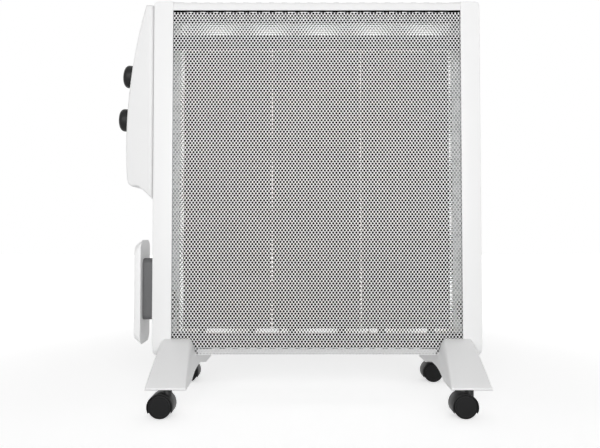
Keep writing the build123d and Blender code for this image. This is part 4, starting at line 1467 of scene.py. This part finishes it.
    def wheel(self, side: str, flip: Matrix) -> None:
        """Makes one wheel with a rounded tread and a dished face.

        Args:
            side: "front" or "rear".
            flip: Turn that brings the front wheel's shape to this side of the axle.
        """
        outer = self.width / 2
        inner = outer - self.wheel_width
        radius = self.wheel_radius
        behind, before = self.tread_radii
        tread_start = inner + self.wheel_back[-1][1] + behind
        profile = [
            (self.bore, inner),
            *((radius - deep, inner + step) for deep, step in self.wheel_back),
            *arc_points((radius - behind, tread_start), behind, -90, 0, steps=4),
            *arc_points((radius - before, outer - before), before, 0, 90, steps=5),
            *((radius - deep, outer - step) for deep, step in self.wheel_face),
            (0.0, outer),
        ]
        bm = turned(profile, steps=80, place=self.axle_matrix() @ flip)
        body = f"{self.corner}_{side}_wheel"
        nodes = [f"{self.corner}_castor_{side}_wheel"]
        deliver(bm, f"{body}_disc", BLACK_TREAD, body, nodes, smooth_degrees=35.0)


@dataclass
class Screws:
    """The cross-head screws that show: two in the winder's flange and four under the feet.

    Attributes:
        head: Radius of a head.
        shank: Radius of a shank.
        recess: Reach and half width of the cross recess.
        recess_depth: Depth of the cross recess.
        recess_taper: Size of the recess's floor against its mouth.
        proud: Height of a countersunk head above the flange.
        proud_edge: Width of the slant round that head's face.
        pan_height: Height of a pan head.
        pan_steps: Depths inside a pan head's side and below its top, at its edge.
    """

    head: float = 4.0 * MM
    shank: float = 1.95 * MM
    recess: Point = (2.3 * MM, 0.5 * MM)
    recess_depth: float = 1.5 * MM
    recess_taper: float = 0.55
    proud: float = 0.25 * MM
    proud_edge: float = 0.6 * MM
    pan_height: float = 3.0 * MM
    pan_steps: tuple[Point, ...] = ((1.2 * MM, 0.0), (0.4 * MM, 0.5 * MM), (0.0, 1.4 * MM))

    def build(self) -> None:
        """Builds and dresses all the screws."""
        low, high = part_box("winder_screws")
        outwards = Matrix.Rotation(-math.pi / 2, 4, "Y")
        flush = [
            (self.head - self.proud_edge, 0.0),
            (self.head, self.proud),
            (self.shank, self.proud + self.head - self.shank),
            (self.shank, high.x - low.x),
        ]
        for number, height in enumerate((low.z + self.head, high.z - self.head), 1):
            place = Matrix.Translation((low.x - self.proud, 0, height)) @ outwards
            self.screw(f"winder_screw_{number}", "winder_screws", place, flush)
        low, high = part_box("foot_screws")
        downwards = Matrix.Rotation(math.pi, 4, "X")
        pan = [
            *((self.head - across, down) for across, down in self.pan_steps),
            (self.head, self.pan_height),
            (self.shank, self.pan_height),
            (self.shank, high.z - low.z),
        ]
        # The CAD heads have six sides, two of which face front and rear.
        side = high.y - self.head * math.cos(math.radians(30))
        places = [(x, y) for x in (low.x + self.head, high.x - self.head) for y in (-side, side)]
        for number, (x, y) in enumerate(places, 1):
            place = Matrix.Translation((x, y, low.z)) @ downwards
            self.screw(f"foot_screw_{number}", "foot_screws", place, pan)

    def screw(self, name: str, node: str, place: Matrix, rings: Sequence[Point]) -> None:
        """Makes one screw.

        Args:
            name: Name of the piece.
            node: CAD node that it stands for.
            place: Place of the head's middle, with Z pointing out of the head.
            rings: Radii and depths of its outline, from the head's face to the shank's end.
        """
        bm = bmesh.new()
        bmesh.ops.create_circle(bm, segments=32, radius=rings[0][0])
        rim = list(bm.edges)
        cross = self._cross(bm)
        bmesh.ops.triangle_fill(bm, edges=rim + cross, use_beauty=True)
        for (before, start), (radius, depth) in zip(rings, rings[1:]):
            rim = self._step(bm, rim, radius / before, start - depth)
        bmesh.ops.holes_fill(bm, edges=rim, sides=0)
        floor = self._step(bm, cross, self.recess_taper, -self.recess_depth)
        bmesh.ops.holes_fill(bm, edges=floor, sides=0)
        bmesh.ops.transform(bm, matrix=place, verts=bm.verts)
        deliver(bm, name, BRIGHT_STEEL, replaces=[node], smooth_degrees=35.0)

    def _cross(self, bm: BMesh) -> list[BMEdge]:
        """Adds the closed outline of the cross recess.

        Args:
            bm: The bmesh to add to.

        Returns:
            Its edges.
        """
        reach, half = self.recess
        arm = [Vector((reach, -half, 0)), Vector((reach, half, 0)), Vector((half, half, 0))]
        turns = [Matrix.Rotation(quarter * math.pi / 2, 4, "Z") for quarter in range(4)]
        verts = [bm.verts.new(turn @ point) for turn in turns for point in arm]
        return [bm.edges.new(pair) for pair in zip(verts, verts[1:] + verts[:1])]

    def _step(self, bm: BMesh, edges: Sequence[BMEdge], factor: float, rise: float) -> list[BMEdge]:
        """Extrudes a closed outline to a scaled copy of it at another height.

        Args:
            bm: The bmesh.
            edges: The outline.
            factor: Size of the copy against the outline.
            rise: Height of the copy above the outline.

        Returns:
            The copy's edges.
        """
        made = bmesh.ops.extrude_edge_only(bm, edges=list(edges))["geom"]
        fresh = set(of_kind(made, BMVert))
        for vert in fresh:
            vert.co = (vert.co.x * factor, vert.co.y * factor, vert.co.z + rise)
        return [edge for edge in of_kind(made, BMEdge) if fresh.issuperset(edge.verts)]


@dataclass
class Studio:
    """Camera, pale floor, a soft light and the world.

    Attributes:
        focal: Focal length of the camera, in millimetres.
        sensor: Width of its sensor, in millimetres.
        clip: Nearest and furthest distance that it sees.
        place: Camera place, with X counted from the body's middle.
        pitch_degrees: Upward pitch of the camera.
        shift: Shift of the frame.
        floor_size: Side of the floor.
        floor_level: Linear level of the floor's grey.
        floor_roughness: Roughness of the floor.
        floor_glows: Extra brightness to the camera of the floor near the object and far from it.
        floor_reach: Distances at which the near floor ends and the far floor starts.
        lamp_place: Place of the lamp, with X counted from the body's middle.
        lamp_pitch: Turn of the lamp from facing straight down, in degrees.
        lamp_size: Side of the lamp.
        lamp_power: Power of the lamp, in watts.
        world_strengths: Strength of the world at the horizon and overhead.
    """

    focal: float = 34.98
    sensor: float = 36.0
    clip: Point = (0.01, 50.0)
    place: Triple = (-23.3 * MM, -961.7 * MM, 268.05 * MM)
    pitch_degrees: float = 1.718
    shift: Point = (-0.00395, -0.01495)
    floor_size: float = 12.0
    floor_level: float = 0.92
    floor_roughness: float = 0.9
    floor_glows: Point = (0.53, 0.90)
    floor_reach: Point = (0.35, 1.6)
    lamp_place: Triple = (0.0, -3.2, 0.5)
    lamp_pitch: float = 88.0
    lamp_size: float = 3.0
    lamp_power: float = 90.0
    world_strengths: Point = (0.84, 0.08)

    def build(self) -> None:
        """Builds the camera, the floor, the lamp and the world."""
        self.camera()
        self.floor()
        self.lamp()
        self.world()

    def camera(self) -> None:
        """Makes the camera at the photograph's viewing angle."""
        data = bpy.data.cameras.new("studio_camera")
        data.lens = self.focal
        data.sensor_width = self.sensor
        data.sensor_fit = "HORIZONTAL"
        data.shift_x, data.shift_y = self.shift
        data.clip_start, data.clip_end = self.clip
        camera = link("studio_camera", data)
        camera.location = Vector(self.place) + Vector((MIDDLE_X, 0, 0))
        camera.rotation_euler = (math.radians(90 + self.pitch_degrees), 0, 0)
        bpy.context.scene.camera = camera

    def floor(self) -> None:
        """Makes the pale floor, which is white to the camera but keeps soft shadows."""
        bm = bmesh.new()
        bmesh.ops.create_grid(bm, x_segments=1, y_segments=1, size=self.floor_size / 2)
        mesh = bpy.data.meshes.new("studio_floor")
        bm.to_mesh(mesh)
        bm.free()
        floor = link("studio_floor", mesh)
        material = bpy.data.materials.new("studio_floor_white")
        material.use_nodes = True
        graph = Graph(material.node_tree)
        shader = graph.tree.nodes["Principled BSDF"]
        surface = {
            "Base Color": (*grey(self.floor_level), 1.0),
            "Roughness": self.floor_roughness,
            "Specular IOR Level": 0.0,
        }
        graph.fill(shader, surface)
        place = graph.add("TexCoord").outputs["Object"]
        fade = {
            "Value": graph.add("VectorMath", {0: place}, operation="LENGTH").outputs["Value"],
            **dict(zip(("From Min", "From Max"), self.floor_reach)),
            **dict(zip(("To Min", "To Max"), self.floor_glows)),
        }
        level = graph.add("MapRange", fade, interpolation_type="SMOOTHSTEP").outputs["Result"]
        strength = graph.math("MULTIPLY", graph.seen_by("Camera", "Glossy"), level)
        glow = graph.add("Emission", {"Strength": strength}).outputs["Emission"]
        both = graph.add("AddShader", {0: shader.outputs["BSDF"], 1: glow}).outputs["Shader"]
        graph.fill("Material Output", {"Surface": both})
        mesh.materials.append(material)

    def lamp(self) -> None:
        """Makes the large soft lamp in front of the radiator."""
        data = bpy.data.lights.new("front_panel", "AREA")
        data.shape = "SQUARE"
        data.size = self.lamp_size
        data.energy = self.lamp_power
        lamp = link("front_panel", data)
        lamp.location = Vector(self.lamp_place) + Vector((MIDDLE_X, 0, 0))
        lamp.rotation_euler = (math.radians(self.lamp_pitch), 0, 0)

    def world(self) -> None:
        """Makes the world, which lights the object more from the horizon than from overhead and is
        pure white behind the object.
        """
        world = bpy.data.worlds.new("studio_world")
        bpy.context.scene.world = world
        world.use_nodes = True
        graph = Graph(world.node_tree)
        white = (*grey(1.0), 1.0)
        way = graph.add("TexCoord").outputs["Generated"]
        horizon, overhead = self.world_strengths
        fade = {
            "Value": graph.add("SeparateXYZ", {"Vector": way}).outputs["Z"],
            "To Min": horizon,
            "To Max": overhead,
        }
        strength = graph.add("MapRange", fade).outputs["Result"]
        graph.fill("Background", {"Color": white, "Strength": strength})
        shown = graph.add("Background", {"Color": white, "Strength": 1.0})
        shares = {
            "Fac": graph.seen_by("Camera", "Glossy", "Transmission"),
            1: graph.tree.nodes["Background"].outputs["Background"],
            2: shown.outputs["Background"],
        }
        mix = graph.add("MixShader", shares)
        graph.fill("World Output", {"Surface": mix.outputs["Shader"]})


def main() -> None:
    """Builds the studio, every sub-assembly and the finishes of the CAD nodes."""
    logging.basicConfig(level=logging.INFO, format="%(name)s: %(message)s")
    bpy.context.scene.view_settings.view_transform = "Standard"
    castors = [Castor(f"{end}_{side}") for end in ("front", "rear") for side in ("left", "right")]
    assemblies = (Studio(), Casing(), Grille(), ControlBox(), CordWinder(), Foot())
    for assembly in (*assemblies, *castors, Screws()):
        assembly.build()
    for finish, nodes in CAD_FINISHES.items():
        for node in nodes:
            dress_cad(node, finish)


if __name__ == "__main__":
    main()
